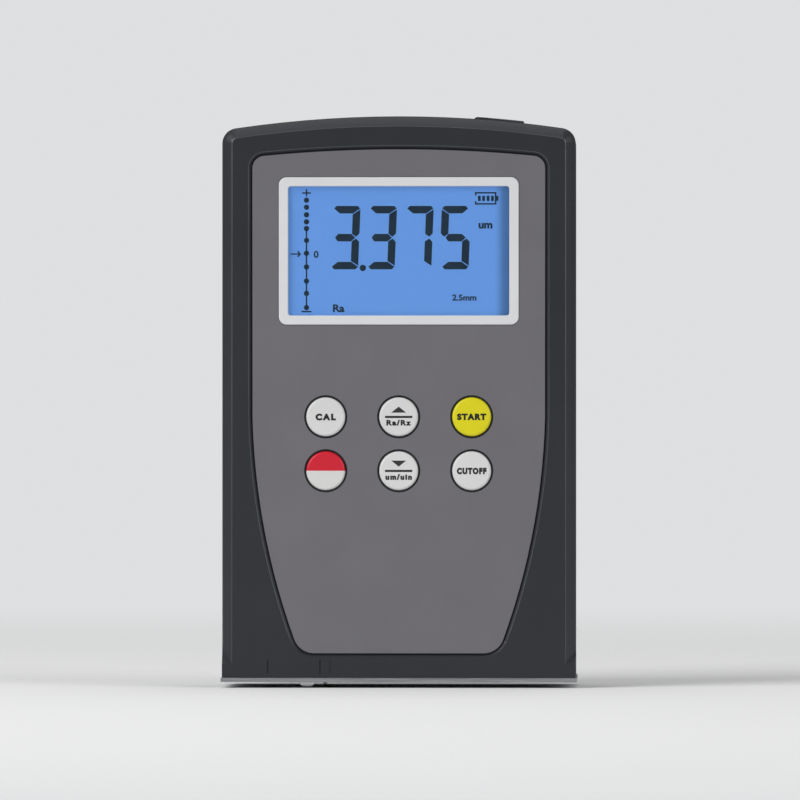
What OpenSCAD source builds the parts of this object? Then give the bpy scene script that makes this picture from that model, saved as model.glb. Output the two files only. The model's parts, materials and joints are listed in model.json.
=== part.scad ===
// Pocket surface roughness tester, standing on its measuring base.
// Millimetres. +X right, +Y to the back, +Z up; the front face looks to -Y.
// The origin is the middle of the underside of the base plate.

/* [Housing] */
// Width of the case across its flat sides
body_w = 80; // [76:0.5:96]
// Height from the base underside to the crown of the arched top
body_h = 128; // [126:0.5:140]
// Depth from the front face to the back face
body_d = 30; // [30:0.5:36]
// Thickness of the moulded case walls
wall = 2.2; // [2:0.1:2.6]
// Radius of the arched top
arch_r = 255; // [200:5:400]
// Radius of the two top corners
corner_r = 3.5; // [3.2:0.1:6]
// Width of the flat bevel around the front, seen from the front
bevel_w = 2.3; // [1.5:0.1:2.8]
// Depth of the flat bevel
bevel_d = 1.7; // [1:0.1:2.4]
// Width of the softer outer edge of the bevel
bevel_lip = 0.4; // [0.2:0.1:0.8]
// Depth of the softer outer edge of the bevel
bevel_soft = 0.9; // [0.4:0.1:1.5]
// Radius of the edges around the back
back_r = 3; // [2:0.1:3.2]
// Seam between the two shells, from mid depth
seam_y = 2; // [1:0.1:3]
// Width of the shadow line along the seam
seam_w = 0.4; // [0.2:0.05:0.8]
// Depth of the shadow line along the seam
seam_d = 0.35; // [0.2:0.05:0.6]
// Reach of the rear shell's tongue into the front shell
tongue_l = 1.6; // [1:0.1:2.4]
// Thickness of the tongue
tongue_t = 0.9; // [0.6:0.1:1.2]
// Height where the bevel starts to run out above the base
plinth_z = 4.2; // [3:0.1:6]
// Height over which the bevel runs out
plinth_rise = 5.2; // [3:0.1:7]
// Gap between fixed pieces that fit into each other
fit = 0.1; // [0.05:0.05:0.2]
// Running gap around pieces that slide or turn
run = 0.06; // [0.03:0.01:0.1]

/* [Base plate] */
// Thickness of the flange that shows under the case
base_t = 1; // [0.8:0.1:1.6]
// Overhang of the flange past the case
base_over = 0.3; // [0.1:0.05:0.6]
// Height of the pad that locates the base inside the case
pad_h = 1.5; // [1:0.1:2]
// Gap between the pad and the case walls
pad_gap = 0.3; // [0.2:0.05:0.6]
// Margin of the probe slot around the moving probe
slot_gap = 1; // [0.6:0.1:1.5]
// Base screw axis, in from the side walls' outside
base_screw_in_x = 4.2; // [4:0.1:4.6]
// Base screw axis, in from the front and back faces
base_screw_in_y = 4.7; // [4.6:0.1:5.2]
// Radius of the bosses that take the base screws
base_boss_r = 2.6; // [2.2:0.1:2.8]
// Height of the bosses that take the base screws
base_boss_h = 5.1; // [4:0.1:5.3]

/* [Front panel] */
// Margin between the grey panel and the sides of the case
panel_in = 6.9; // [5.5:0.1:8]
// Drop of the crown of the panel below the crown of the case
panel_drop = 7.55; // [7:0.05:9]
// Radius of the panel's arched top
panel_arch_r = 320; // [250:5:400]
// Radius of the panel's top corners
panel_corner_r = 2.8; // [1.5:0.1:4]
// Drop below the crown of the case where the panel's sides start to curve in
panel_side_drop = 64.2; // [54:0.2:76]
// Radius of the inward curve of the panel's sides
panel_side_r = 159; // [140:1:200]
// Height of the panel's lower edge
panel_low_z = 6.55; // [6.4:0.05:9]
// Radius of the panel's lower corners
panel_foot_r = 4.7; // [3:0.1:6]
// Thickness of the panel
panel_t = 0.5; // [0.3:0.05:0.6]
// Depth of the recess that holds the panel
recess_d = 0.8; // [0.6:0.05:1]
// Width of the sloped edge of the recess
recess_slope = 0.9; // [0.4:0.1:1.4]
// Stroke marks at the foot of the front face, from the skid
mark_x = [-8.6, 3.2, 5.5]; // [-12:0.1:12]
// Height of the middle of the stroke marks
mark_z = 3.6; // [3.2:0.1:4]
// Length of a stroke mark
mark_l = 3; // [1:0.1:3.4]
// Width of a stroke mark
mark_w = 0.35; // [0.2:0.05:0.6]
// Depth of a stroke mark
mark_d = 0.25; // [0.1:0.05:0.5]

/* [Display] */
// Drop of the middle of the display below the crown of the case
display_drop = 30.5; // [30:0.1:31]
// Margin between the white bezel and the sides of the case
bezel_in = 12.85; // [12.5:0.05:13.5]
// Outside height of the white bezel
bezel_h = 33.4; // [33:0.1:34]
// Outside corner radius of the bezel
bezel_r = 1.8; // [0.8:0.1:3]
// Width of the bezel's rim beside the window
rim_side = 2.15; // [1.8:0.05:3]
// Width of the bezel's rim above and below the window
rim_end = 2.1; // [1.8:0.05:3]
// Corner radius of the window
window_r = 0.6; // [0.3:0.1:1.2]
// Thickness of the bezel's front lip
bezel_lip = 0.7; // [0.5:0.05:1]
// Height of the bezel above the panel
bezel_proud = 0.1; // [0:0.05:0.3]
// Width of the bezel's side wall around the glass
bezel_wall = 1.15; // [0.9:0.05:1.2]
// Overlap of the bezel's flange behind the case wall
bezel_flange = 1.6; // [1:0.1:1.7]
// Thickness of the clear lens
lens_t = 0.8; // [0.5:0.1:1]
// Thickness of the liquid crystal glass
glass_t = 1.9; // [1.4:0.1:2.2]
// Thickness of the backlight
backlight_t = 3.2; // [2.6:0.1:3.6]
// Gap between the backlight and the connector strips
backlight_gap = 0.45; // [0.3:0.05:0.8]
// Thickness of a display connector strip
strip_t = 2.2; // [1.6:0.1:2.3]

/* [Keys] */
// Outer key columns, in from the sides of the panel
key_in = 16.6; // [16:0.1:19]
// Drop of the upper key row below the middle of the display
key_drop = 37.5; // [34.5:0.1:38]
// Spacing of the key rows
key_pitch_z = 12.2; // [12:0.1:13]
// Radius of a key cap
key_r = 4.4; // [3.8:0.05:4.6]
// Softened edge of a key cap
key_edge = 0.35; // [0.2:0.05:0.6]
// Gap between a key and its hole in the panel
key_gap = 0.4; // [0.3:0.05:0.6]
// Height of a key cap above the panel
key_proud = 0.3; // [0.2:0.05:0.6]
// Travel of a key
key_travel = 0.5; // [0.3:0.05:0.6]
// Radius of the flange that keeps a key in
key_flange_r = 5.4; // [5.2:0.05:5.8]
// Thickness of the flange
key_flange_t = 0.6; // [0.5:0.05:0.7]
// Side of a key switch
switch_w = 6; // [5:0.1:6.2]
// Height of a key switch
switch_h = 2.4; // [2.2:0.1:2.5]
// Length of a key's stem behind the flange
key_stem = 0.35; // [0.2:0.05:0.5]
// Radius of a switch plunger
plunger_r = 1.65; // [1.2:0.05:2]
// Length of a switch plunger inside its switch at rest
plunger_in = 0.8; // [0.5:0.1:1]

/* [Main board] */
// Gap between the main board and the case bosses
board_gap = 0.6; // [0.4:0.05:1]
// Reach of the board below the lower key row
board_reach = 6.8; // [6.6:0.1:7.4]
// Thickness of the board
board_t = 1.6; // [1:0.1:1.8]
// Lower board screws, in from the edges of the board
board_screw_in = 3.3; // [2.9:0.1:3.6]
// Upper board screws, in from the middle of the data socket
board_screw_side = 7.5; // [6:0.1:9]
// Height of the bosses' axes above the bezel flange
board_screw_up = 2.7; // [2.5:0.1:2.8]
// Radius of the bosses that carry the board
board_boss_r = 2.4; // [2:0.1:2.5]
// Margin of the board above its upper screws
board_margin = 2.8; // [2.4:0.1:3]

/* [Case screws] */
// Case screw axis, in from the side walls' outside
case_screw_in = 6.5; // [6:0.1:6.6]
// Height of the lower case screws
case_screw_low_z = 38; // [36:0.1:39]
// Drop of the upper case screws below the crown
case_screw_drop = 16; // [14:0.1:17]
// Radius of the case bosses
case_boss_r = 3.4; // [3.2:0.1:3.5]
// Depth of the counterbore for a case screw
case_bore_d = 5; // [3.5:0.1:6]
// Radius of the counterbore for a case screw
case_bore_r = 2.9; // [2.8:0.05:3]

/* [Battery bay] */
// Radius of a cell
cell_r = 5.2; // [5.1:0.05:5.25]
// Length of a cell with its nub
cell_l = 44.5; // [44:0.1:44.7]
// Radius of a cell's nub
cell_nub_r = 1.9; // [1.7:0.1:2]
// Height of a cell's nub
cell_nub_h = 1; // [0.8:0.1:1.2]
// Spacing of the cells
cell_pitch = 10.8; // [10.6:0.1:11]
// Drop of the middle of the bay below the crown of the case
bay_drop = 50; // [49:0.1:51]
// Length of the bay
bay_l = 51; // [50.6:0.1:52]
// Thickness of the bay's walls
bay_wall = 1.4; // [1:0.1:1.6]
// Gap between the cells and the bay
bay_gap = 0.4; // [0.2:0.05:0.5]
// Thickness of the contact metal
contact_t = 0.4; // [0.3:0.05:0.5]
// Width of a contact
contact_w = 7; // [5:0.1:8]
// Thickness of the door
door_t = 1.2; // [1:0.1:1.3]
// Width of the ledge that the door rests on
door_ledge = 1.6; // [1.2:0.1:2]
// Reach of the door past the bay's ends
door_reach = 5; // [4.9:0.1:5.6]
// Corner radius of the door
door_r = 2; // [1:0.1:3]
// Thickness of the ribs inside the door
door_rib = 0.9; // [0.6:0.1:1]
// Spacing of the ribs inside the door
door_rib_pitch = 15; // [10:0.5:18]
// Radius of the leads inside the case
lead_r = 0.6; // [0.4:0.05:0.7]
// Swelling of a lead where it turns
lead_knee = 0.05; // [0.02:0.01:0.1]
// Door screw axis, in from the door's ends
door_screw_in = 2.6; // [2.5:0.05:2.7]

/* [Data socket] */
// Middle of the socket, in from the side of the case
port_in = 17.5; // [17:0.1:18]
// Middle of the socket along Y
port_y = -3.6; // [-3.8:0.05:-3.4]
// Radius of the socket's bore
socket_r = 1.8; // [1.75:0.05:2]
// Depth of the socket's bore
socket_l = 12.5; // [10:0.1:13]
// Radius of the socket's neck
neck_r = 2.8; // [2.6:0.05:2.9]
// Length of the cover
cover_l = 11.5; // [10:0.1:12]
// Width of the cover
cover_w = 7.3; // [6.4:0.1:7.4]
// Height of the cover above the arch
cover_proud = 0.6; // [0.2:0.05:0.8]
// Radius of the cover's hinge knuckle
knuckle_r = 1.05; // [1:0.05:1.2]
// Radius of the cover's hinge pin
port_pin_r = 0.5; // [0.4:0.05:0.6]
// Forward shift of the cover from the socket
cover_shift = 0.5; // [0.4:0.05:0.6]
// Reach of the hinge pin into the case
port_pin_in = 1.1; // [0.8:0.1:1.2]
// Half width of the socket's body
socket_half = 3; // [2.9:0.05:3]
// Gap around the cover
cover_gap = 0.3; // [0.3:0.05:0.4]

/* [Traverse unit] */
// Height of the lead screw and the guide rods
screw_z = 13; // [12.8:0.1:14]
// Gap between the frame and the back wall
drive_gap = 0.5; // [0.4:0.05:1]
// Radius of the lead screw over its thread
screw_r = 1.75; // [1.5:0.05:1.8]
// Radius of the lead screw's journals
journal_r = 1.25; // [1:0.05:1.4]
// Spacing of the guide rods from the lead screw
rod_gap = 4.2; // [4.1:0.05:4.4]
// Radius of a guide rod
rod_r = 1.5; // [1.2:0.05:1.6]
// Gap between the frame and the left side wall
frame_gap = 10.8; // [10:0.1:11.2]
// Length of the frame between its end plates
frame_l = 34.5; // [34.1:0.1:36]
// Thickness of the frame's plates
frame_t = 2; // [1.6:0.1:2.2]
// Thickness of the frame's floor
frame_floor = 1.5; // [1.2:0.1:1.8]
// Height of the frame's end plates
frame_h = 16.5; // [16:0.1:18]
// Width of the frame
frame_w = 12.4; // [12.2:0.1:13]
// Length of the gearbox
gearbox_l = 8; // [7:0.1:9]
// Room for the leads between the motor's end and the right side wall
motor_gap = 3.3; // [3:0.1:6]
// Width of the motor
motor_w = 12; // [11:0.1:12]
// Height of the motor
motor_h = 10; // [9:0.1:10]
// Left end of the carriage at rest, from the frame's left end plate
carriage_at = 11; // [10.6:0.1:11.4]
// Length of the carriage
carriage_l = 16; // [14:0.1:16]
// Height of the carriage
carriage_h = 8; // [7:0.1:8.4]
// Radius of the carriage nut
nut_r = 2.4; // [2.2:0.05:2.45]
// Size of the stop dog under the carriage
dog = 2; // [1.6:0.1:2.2]
// Gap between the stop dog and a limit switch at the end of the stroke
dog_gap = 0.6; // [0.4:0.1:1]
// Length, width and height of a limit switch
limit_size = [4, 3, 4]; // [2:0.1:6]
// Drive screw axis, in from the frame's end plates
drive_screw_in = 3.5; // [3:0.1:4]
// Outer radius of a lead screw bush
bush_r = 2.2; // [2:0.05:2.4]
// Reach of the lead screw into the gearbox
shaft_in = 3; // [2:0.1:4]
// Gap between the thread and the bushes
thread_gap = 0.4; // [0.3:0.05:0.6]
// Stroke of the carriage to the left of its rest position
stroke_out = 9.4; // [6:0.1:9.6]
// Stroke of the carriage to the right of its rest position
stroke_in = 4.4; // [2:0.1:5]

/* [Probe] */
// Height of the probe axis
probe_z = 8.2; // [8:0.05:8.4]
// Radius of the probe tube
probe_r = 3; // [2.8:0.05:3.1]
// Thickness of the probe tube's wall
probe_wall = 0.7; // [0.5:0.05:0.8]
// Reach of the probe tube from its pivot
probe_l = 14; // [13.6:0.05:14.4]
// Pivot of the probe, from the left end of the carriage
pivot_at = 13; // [12.7:0.05:13]
// Radius of the pivot pin
pivot_r = 0.8; // [0.6:0.05:1]
// Half length of the probe's pivot lug
lug_half = 3; // [2.6:0.05:3]
// Width of the probe's pivot lug
lug_w = 5.4; // [5.2:0.1:5.8]
// Gap beside the probe's pivot lug
lug_gap = 0.5; // [0.3:0.05:0.6]
// Thickness of the carriage's outer ear
ear_t = 1.2; // [1:0.1:1.8]
// Thickness of the carriage's inner ear
inner_ear_t = 1.6; // [1.2:0.1:2]
// Thickness of the bridge above the probe
bridge_t = 3; // [2.4:0.1:3.2]
// Thickness of the probe's leaf spring
leaf_t = 0.25; // [0.2:0.05:0.3]
// Width of the probe's leaf spring
leaf_w = 3; // [2:0.1:4]
// Length of the skid's collar on the tube
collar_l = 1; // [0.8:0.1:1.2]
// Length of the skid's spigot in the tube
spigot_l = 1.5; // [1:0.1:1.8]
// Thickness of the skid's arm
arm_t = 1.8; // [1.4:0.1:2.2]
// Clearance around the stylus lever
lever_gap = 0.45; // [0.35:0.05:0.6]
// Length of the sensor coils
coil_l = 3.4; // [3:0.1:3.8]
// Height of the stylus tip above the foot of the skid at rest
stylus_lift = 0.05; // [0:0.01:0.2]
// Height of the diamond tip
tip_h = 0.6; // [0.4:0.05:0.8]
// Radius of the diamond's point
tip_r = 0.05; // [0.03:0.01:0.1]
// Skid, from the probe's pivot
skid_at = 20; // [19.8:0.05:20.2]
// Radius of the skid's rounded foot
skid_r = 2.4; // [2:0.05:2.4]
// Width of the skid
skid_w = 3.6; // [3:0.1:3.8]
// Reach of the skid below the base
skid_drop = 1.3; // [1:0.05:1.4]
// Stylus, from the probe's pivot
stylus_at = 15.9; // [15.8:0.05:16]
// Radius of the stylus shank
stylus_r = 0.4; // [0.3:0.05:0.45]
// Pivot of the stylus lever, from the probe's pivot
lever_at = 10; // [9.6:0.05:10.4]
// Drop of the stylus lever below the probe axis
lever_drop = 0.8; // [0.6:0.05:0.9]
// Thickness of the stylus lever
lever_t = 0.8; // [0.6:0.05:1]
// Width of the stylus lever
lever_w = 1.2; // [1:0.1:1.6]
// Radius of the stylus pivot pin
stylus_pin_r = 0.25; // [0.2:0.01:0.3]

/* [Screws] */
// Head and shank radius, then head height and shank length, of a case screw
case_screw = [2.6, 1.4, 2, 18]; // [0.5:0.05:20]
// The same for a board screw
board_screw = [1.9, 0.9, 1.2, 4.6]; // [0.5:0.05:20]
// The same for a base screw, with a countersunk head
base_screw = [2.2, 1.15, 1.1, 5]; // [0.5:0.05:20]
// The same for a drive screw, with a countersunk head
drive_screw = [1.9, 0.95, 1, 2.9]; // [0.5:0.05:20]
// The same for a door screw
door_screw = [2, 1.1, 0.7, 5.2]; // [0.5:0.05:20]

/* [Node] */
// Node that is drawn

/* [Hidden] */
$fn = 64;
// Facets of the long arch in a preview
arch_fn = 360;
// Bosses and ribs are rooted this deep in the walls that carry them
root = 0.5;
// Cutters reach this far past the faces that they cut
over = 1;
// Length and width of a cross recess, as shares of the head's radius
cross_l = 1.2;
cross_w = 0.24;
front_y = -body_d / 2;
back_y = body_d / 2;
inner_front_y = front_y + wall;
inner_back_y = back_y - wall;
inner_x = body_w / 2 - wall;
arch_z = body_h - arch_r;
corner_x = body_w / 2 - corner_r;
corner_z = arch_z + sqrt(pow(arch_r - corner_r, 2) - pow(corner_x, 2));
corner_a = atan2(corner_z - arch_z, corner_x);
pad_top_z = base_t + pad_h;
base_screw_x = body_w / 2 - base_screw_in_x;
base_screw_y = body_d / 2 - base_screw_in_y;
// Front panel
floor_y = front_y + recess_d;
panel_y = floor_y - panel_t;
panel_half_w = body_w / 2 - panel_in;
panel_top_z = body_h - panel_drop;
panel_side_z = body_h - panel_side_drop;
panel_arch_z = panel_top_z - panel_arch_r;
panel_corner_x = panel_half_w - panel_corner_r;
panel_corner_z = panel_arch_z + sqrt(pow(panel_arch_r - panel_corner_r, 2) - pow(panel_corner_x, 2));
panel_corner_a = atan2(panel_corner_z - panel_arch_z, panel_corner_x);
panel_side_x = panel_half_w - panel_side_r;
panel_foot_z = panel_low_z + panel_foot_r;
panel_foot_x = panel_side_x + sqrt(pow(panel_side_r - panel_foot_r, 2) - pow(panel_side_z - panel_foot_z, 2));
panel_foot_a = atan2(panel_side_z - panel_foot_z, panel_foot_x - panel_side_x);
// Display stack, from the bezel's front to the board
display_z = body_h - display_drop;
bezel_w = body_w - 2 * bezel_in;
window_w = bezel_w - 2 * rim_side;
window_h = bezel_h - 2 * rim_end;
bezel_y = panel_y - bezel_proud;
lens_y = bezel_y + bezel_lip;
glass_y = lens_y + lens_t;
backlight_y = glass_y + glass_t;
board_y = backlight_y + backlight_t;
board_back_y = board_y + board_t;
pocket_w = bezel_w - 2 * bezel_wall;
pocket_h = bezel_h - 2 * bezel_wall;
glass_w = pocket_w - 2 * fit;
glass_h = pocket_h - 2 * fit;
strip_z = (glass_h - strip_t) / 2 - fit;
backlight_h = 2 * (strip_z - backlight_gap) - strip_t;
// Keys, from the left in the upper row and then in the lower row
key_pitch_x = panel_half_w - key_in;
key_high_z = display_z - key_drop;
key_low_z = key_high_z - key_pitch_z;
key_y = panel_y - key_proud;
key_sites = [for (z = [key_high_z, key_low_z], x = [-key_pitch_x, 0, key_pitch_x]) [x, z]];
key_colours = ["WhiteSmoke", "WhiteSmoke", "Gold", "Crimson", "WhiteSmoke", "WhiteSmoke"];
flange_y = inner_front_y + run;
switch_y = board_y - switch_h;
plunger_y = flange_y + key_flange_t + key_stem;
plunger_well = plunger_in + key_travel + fit;
// Case screws
case_screw_x = body_w / 2 - case_screw_in;
case_sites = [for (z = [case_screw_low_z, body_h - case_screw_drop], s = [-1, 1]) [s * case_screw_x, z]];
case_seat_y = back_y - case_bore_d;
// Main board
port_x = body_w / 2 - port_in;
board_half_w = case_screw_x - case_boss_r - board_gap;
board_low_z = key_low_z - board_reach;
board_screw_x = board_half_w - board_screw_in;
board_screw_low_z = board_low_z + board_screw_in;
board_screw_high_z = display_z + bezel_h / 2 + bezel_flange + board_screw_up;
board_high_z = board_screw_high_z + board_margin;
board_sites = [
    for (s = [-1, 1]) [s * board_screw_x, board_screw_low_z],
    for (s = [-1, 1]) [s * (port_x - board_screw_side), board_screw_high_z]
];
// Chips and a lead header on the back of the board: place from the display, then width, height and thickness
board_parts = [
    [[-10, 0.5], [14, 14, 1.4]], [[9, 3.5], [9, 6, 1.4]], [[11, -9.5], [6, 5, 1.2]],
    [[-12, -17.5], [8, 5, 1.6]], [[4, -25.5], [10, 4, 2.6]]
];
// Battery bay
bay_z = body_h - bay_drop;
cell_count = 4;
cell_y = inner_back_y - cell_r - bay_gap;
bay_w = cell_pitch * (cell_count - 1) + 2 * (cell_r + bay_gap);
bay_y = cell_y - cell_r - bay_gap;
bay_low_z = bay_z - bay_l / 2;
bay_high_z = bay_z + bay_l / 2;
leaf_h = bay_l - cell_l - contact_t - bay_gap;
door_w = bay_w + 2 * door_ledge;
door_h = bay_l + 2 * door_reach;
door_y = back_y - door_t;
door_sites = [for (s = [-1, 1]) [0, bay_z + s * (door_h / 2 - door_screw_in)]];
door_boss_r = door_reach - door_screw_in;
// Data socket
cover_x0 = port_x - cover_l / 2;
cover_x1 = port_x + cover_l / 2;
cover_y0 = port_y - cover_shift - cover_w / 2;
cover_y1 = port_y - cover_shift + cover_w / 2;
knuckle_x = cover_x0 + knuckle_r;
knuckle_z = arch_z + sqrt(pow(arch_r + cover_proud, 2) - pow(knuckle_x, 2)) - knuckle_r;
port_floor_z = knuckle_z - knuckle_r - cover_gap;
cover_low_z = knuckle_z - knuckle_r;
port_pad_z = port_floor_z - wall;
socket_top_z = port_floor_z;
socket_body_z = port_pad_z - over;
// Traverse unit
screw_y = inner_back_y - drive_gap - frame_w / 2;
frame_x0 = frame_gap + frame_t - inner_x;
frame_x1 = frame_x0 + frame_l;
frame_y = screw_y - frame_w / 2;
frame_z = pad_top_z;
rod_sites = [for (s = [-1, 1]) screw_y + s * rod_gap];
gearbox_x = frame_x1 + frame_t;
motor_x = gearbox_x + gearbox_l;
motor_end_x = inner_x - motor_gap;
carriage_x = frame_x0 + carriage_at;
carriage_z = screw_z - carriage_h / 2;
carriage_w = frame_w + 2 * fit;
carriage_y = screw_y - carriage_w / 2;
carriage_top_z = carriage_z + carriage_h;
dog_x = carriage_x + carriage_l / 2;
drive_sites = [for (x = [frame_x0 + drive_screw_in, frame_x1 - drive_screw_in], y = rod_sites) [x, y]];
// Probe
inner_ear_y = carriage_y - inner_ear_t;
probe_y = inner_ear_y - lug_gap - lug_w / 2;
ear_y = probe_y - lug_w / 2 - lug_gap;
pivot_x = carriage_x + pivot_at;
probe_x = pivot_x - probe_l;
skid_x = pivot_x - skid_at;
stylus_x = pivot_x - stylus_at;
lever_x = pivot_x - lever_at;
probe_bore_r = probe_r - probe_wall;
bridge_z = carriage_top_z - bridge_t;
probe_top_z = probe_z + probe_r;
coil_x = pivot_x - lug_half - coil_l;
probe_end_x = pivot_x - lug_half + probe_wall + pivot_r;
lever_z = probe_z - lever_drop;
lever_end_x = coil_x + coil_l;
tip_z = stylus_lift - skid_drop;

// Points of an arc after its first point
function arc(c, r, a0, a1, n) = [
    for (i = [1:n]) let (a = a0 + (a1 - a0) * i / n) c + r * [cos(a), sin(a)]
];

// The left half of a symmetric outline, from its right half
function mirrored(pts) = [for (i = [len(pts) - 1:-1:0]) [-pts[i][0], pts[i][1]]];

// Front outline of the case, moved inward, with its foot at a height
function case_half(inset, low) = concat(
    arc([0, arch_z], arch_r - inset, 90, corner_a, 12),
    arc([corner_x, corner_z], corner_r - inset, corner_a, 0, 8),
    [[body_w / 2 - inset, low]]
);
function case_outline(inset, low) = concat(
    [[0, body_h - inset]], case_half(inset, low), mirrored(case_half(inset, low))
);

// Shield outline of the front panel, moved outward
function panel_half(grow) = concat(
    arc([0, panel_arch_z], panel_arch_r + grow, 90, panel_corner_a, 12),
    arc([panel_corner_x, panel_corner_z], panel_corner_r + grow, panel_corner_a, 0, 8),
    arc([panel_side_x, panel_side_z], panel_side_r + grow, 0, -panel_foot_a, 14),
    arc([panel_foot_x, panel_foot_z], panel_foot_r + grow, -panel_foot_a, -90, 10)
);
function panel_outline(grow) = concat(
    [[0, panel_top_z + grow]], panel_half(grow), mirrored(panel_half(grow))
);

// Rectangle with round corners around the origin
function round_rect(w, h, r) = [
    for (q = [0:3], i = [0:6]) let (
        a = 90 * q + 15 * i, sx = q == 0 || q == 3 ? 1 : -1, sy = q < 2 ? 1 : -1
    ) [sx * (w / 2 - r) + r * cos(a), sy * (h / 2 - r) + r * sin(a)]
];

// A front-view outline, given depth from y0 to y1
module slab_y(y0, y1) translate([0, y1, 0]) rotate([90, 0, 0]) linear_extrude(y1 - y0) children();

// A side-view outline, given width from x0 to x1
module slab_x(x0, x1) translate([x0, 0, 0]) rotate([90, 0, 90]) linear_extrude(x1 - x0) children();

module rod_y(r, y0, y1) translate([0, y0, 0]) rotate([-90, 0, 0]) cylinder(r = r, h = y1 - y0);
module rod_x(r, x0, x1) translate([x0, 0, 0]) rotate([0, 90, 0]) cylinder(r = r, h = x1 - x0);
module box(from, to) translate(from) cube(to - from);

// A place in the front view
module at(site) translate([site[0], 0, site[1]]) children();

// A lead along straight stretches, rounded where it turns
module lead(pts) {
    for (i = [0:len(pts) - 2]) {
        step = pts[i + 1] - pts[i];
        translate(pts[i])
            rotate([0, acos(step[2] / norm(step)), atan2(step[1], step[0])])
                cylinder(r = lead_r, h = norm(step));
        if (i > 0) translate(pts[i]) sphere(r = lead_r + lead_knee);
    }
}

// Cross recess in a screw head of radius r, cut upward from the origin
module cross_recess(r) {
    for (a = [0, 90]) rotate(a)
        translate([-r * cross_l / 2, -r * cross_w / 2, 0]) cube([r * cross_l, r * cross_w, over]);
}

// Screw along Z with its seat at the origin and a pan head above
module pan_screw(size) {
    difference() {
        union() {
            cylinder(r = size[0], h = size[2]);
            translate([0, 0, -size[3]]) cylinder(r = size[1], h = size[3]);
        }
        translate([0, 0, size[2] / 2]) cross_recess(size[0]);
    }
}

// Screw along Z with a countersunk head that is flush at the origin
module flat_screw(size) {
    difference() {
        union() {
            cylinder(r1 = size[0], r2 = size[1], h = size[2]);
            translate([0, 0, size[2]]) cylinder(r = size[1], h = size[3]);
        }
        translate([0, 0, size[2] / 2 - over]) cross_recess(size[0]);
    }
}

// Hole for a countersunk screw
module flat_hole(size) {
    cylinder(r1 = size[0] + fit, r2 = size[1] + fit, h = size[2]);
    translate([0, 0, -over]) cylinder(r = size[1] + fit, h = size[2] + size[3] + 2 * over);
}

// Section of the case's edge, from an axis out to a reach: bevel, seam line and round back edge
module edge_section(reach) {
    difference() {
        polygon([
            [0, front_y], [reach - bevel_w, front_y], [reach - bevel_lip, front_y + bevel_d],
            [reach, front_y + bevel_d + bevel_soft], [reach, seam_y - seam_w],
            [reach - seam_d, seam_y - seam_w], [reach - seam_d, seam_y], [reach, seam_y],
            [reach, back_y], [0, back_y]
        ]);
        translate([reach - back_r, back_y - back_r]) difference() {
            square(back_r + over);
            circle(r = back_r);
        }
    }
}

// The wedge of the front view that a rounded top corner fills
module corner_wedge(side) {
    far = 4 * corner_r;
    mirror([side < 0 ? 1 : 0, 0, 0])
        slab_y(front_y - over, back_y + over)
            translate([corner_x, corner_z])
                polygon([[0, 0], [far, 0], [far, far], far * [cos(corner_a), sin(corner_a)]]);
}

// One foot of the case, where the edge runs out above the base in a hollow curve
module plinth(face_y, run_out, end_y) {
    depth = abs(run_out - face_y);
    scoop_r = (pow(plinth_rise, 2) + pow(depth, 2)) / (2 * depth);
    difference() {
        box(
            [-body_w / 2, min(face_y, end_y), base_t],
            [body_w / 2, max(face_y, end_y), plinth_z + plinth_rise]
        );
        translate([0, run_out + sign(face_y - run_out) * scoop_r, plinth_z + plinth_rise])
            rod_x(scoop_r, -body_w / 2 - over, body_w / 2 + over);
    }
}

// Outside form of the closed case
module case_form() {
    difference() {
        intersection() {
            translate([0, 0, arch_z]) rotate([-90, 0, 0]) rotate_extrude($fn = arch_fn) edge_section(arch_r);
            translate([0, 0, base_t]) linear_extrude(body_h) {
                edge_section(body_w / 2);
                mirror([1, 0]) edge_section(body_w / 2);
            }
        }
        corner_wedge(-1);
        corner_wedge(1);
    }
    for (side = [-1, 1]) intersection() {
        corner_wedge(side);
        translate([side * corner_x, 0, corner_z]) rotate([-90, 0, 0]) rotate_extrude() edge_section(corner_r);
    }
    plinth(front_y, front_y + bevel_d + bevel_soft, seam_y - seam_w);
    plinth(back_y, back_y - back_r, seam_y);
}

// The part of the case between two depths, hollowed and open at the foot
module case_shell(y0, y1) {
    difference() {
        intersection() {
            case_form();
            box([-body_w, y0, 0], [body_w, y1, body_h + over]);
        }
        slab_y(inner_front_y, inner_back_y) polygon(case_outline(wall, base_t - over));
    }
}

// Ring inside the wall that the tongue fills, with a gap around it
module tongue_ring(gap, y0, y1) {
    slab_y(y0, y1) difference() {
        polygon(case_outline(wall - tongue_t - gap, base_t - gap));
        polygon(case_outline(wall + gap, base_t - over));
    }
}

// Bosses on one side of the case for the base screws, with webs to the side walls
module base_bosses(y) {
    for (side = [-1, 1]) {
        translate([side * base_screw_x, y, pad_top_z]) cylinder(r = base_boss_r, h = base_boss_h);
        mirror([side < 0 ? 1 : 0, 0, 0])
            box(
                [base_screw_x, y - wall / 2, pad_top_z],
                [inner_x + root, y + wall / 2, pad_top_z + base_boss_h]
            );
    }
}

module base_pilots(y) {
    for (side = [-1, 1])
        translate([side * base_screw_x, y, 0])
            cylinder(r = base_screw[1] + fit, h = base_screw[2] + base_screw[3] + fit);
}

// Sloped recess for the front panel
module panel_recess() {
    hull() {
        slab_y(front_y - over, front_y) polygon(panel_outline(recess_slope));
        slab_y(floor_y - fit, floor_y) polygon(panel_outline(fit));
    }
}

// Stroke marks: two lines and a dotted one
module stroke_marks() {
    for (i = [0, 1])
        translate([skid_x + mark_x[i], 0, mark_z])
            box([-mark_w / 2, front_y - over, -mark_l / 2], [mark_w / 2, front_y + mark_d, mark_l / 2]);
    for (i = [-1:1])
        translate([skid_x + mark_x[2], 0, mark_z + i * mark_l / 3])
            box([-mark_w / 2, front_y - over, -mark_w / 2], [mark_w / 2, front_y + mark_d, mark_w / 2]);
}

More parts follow.
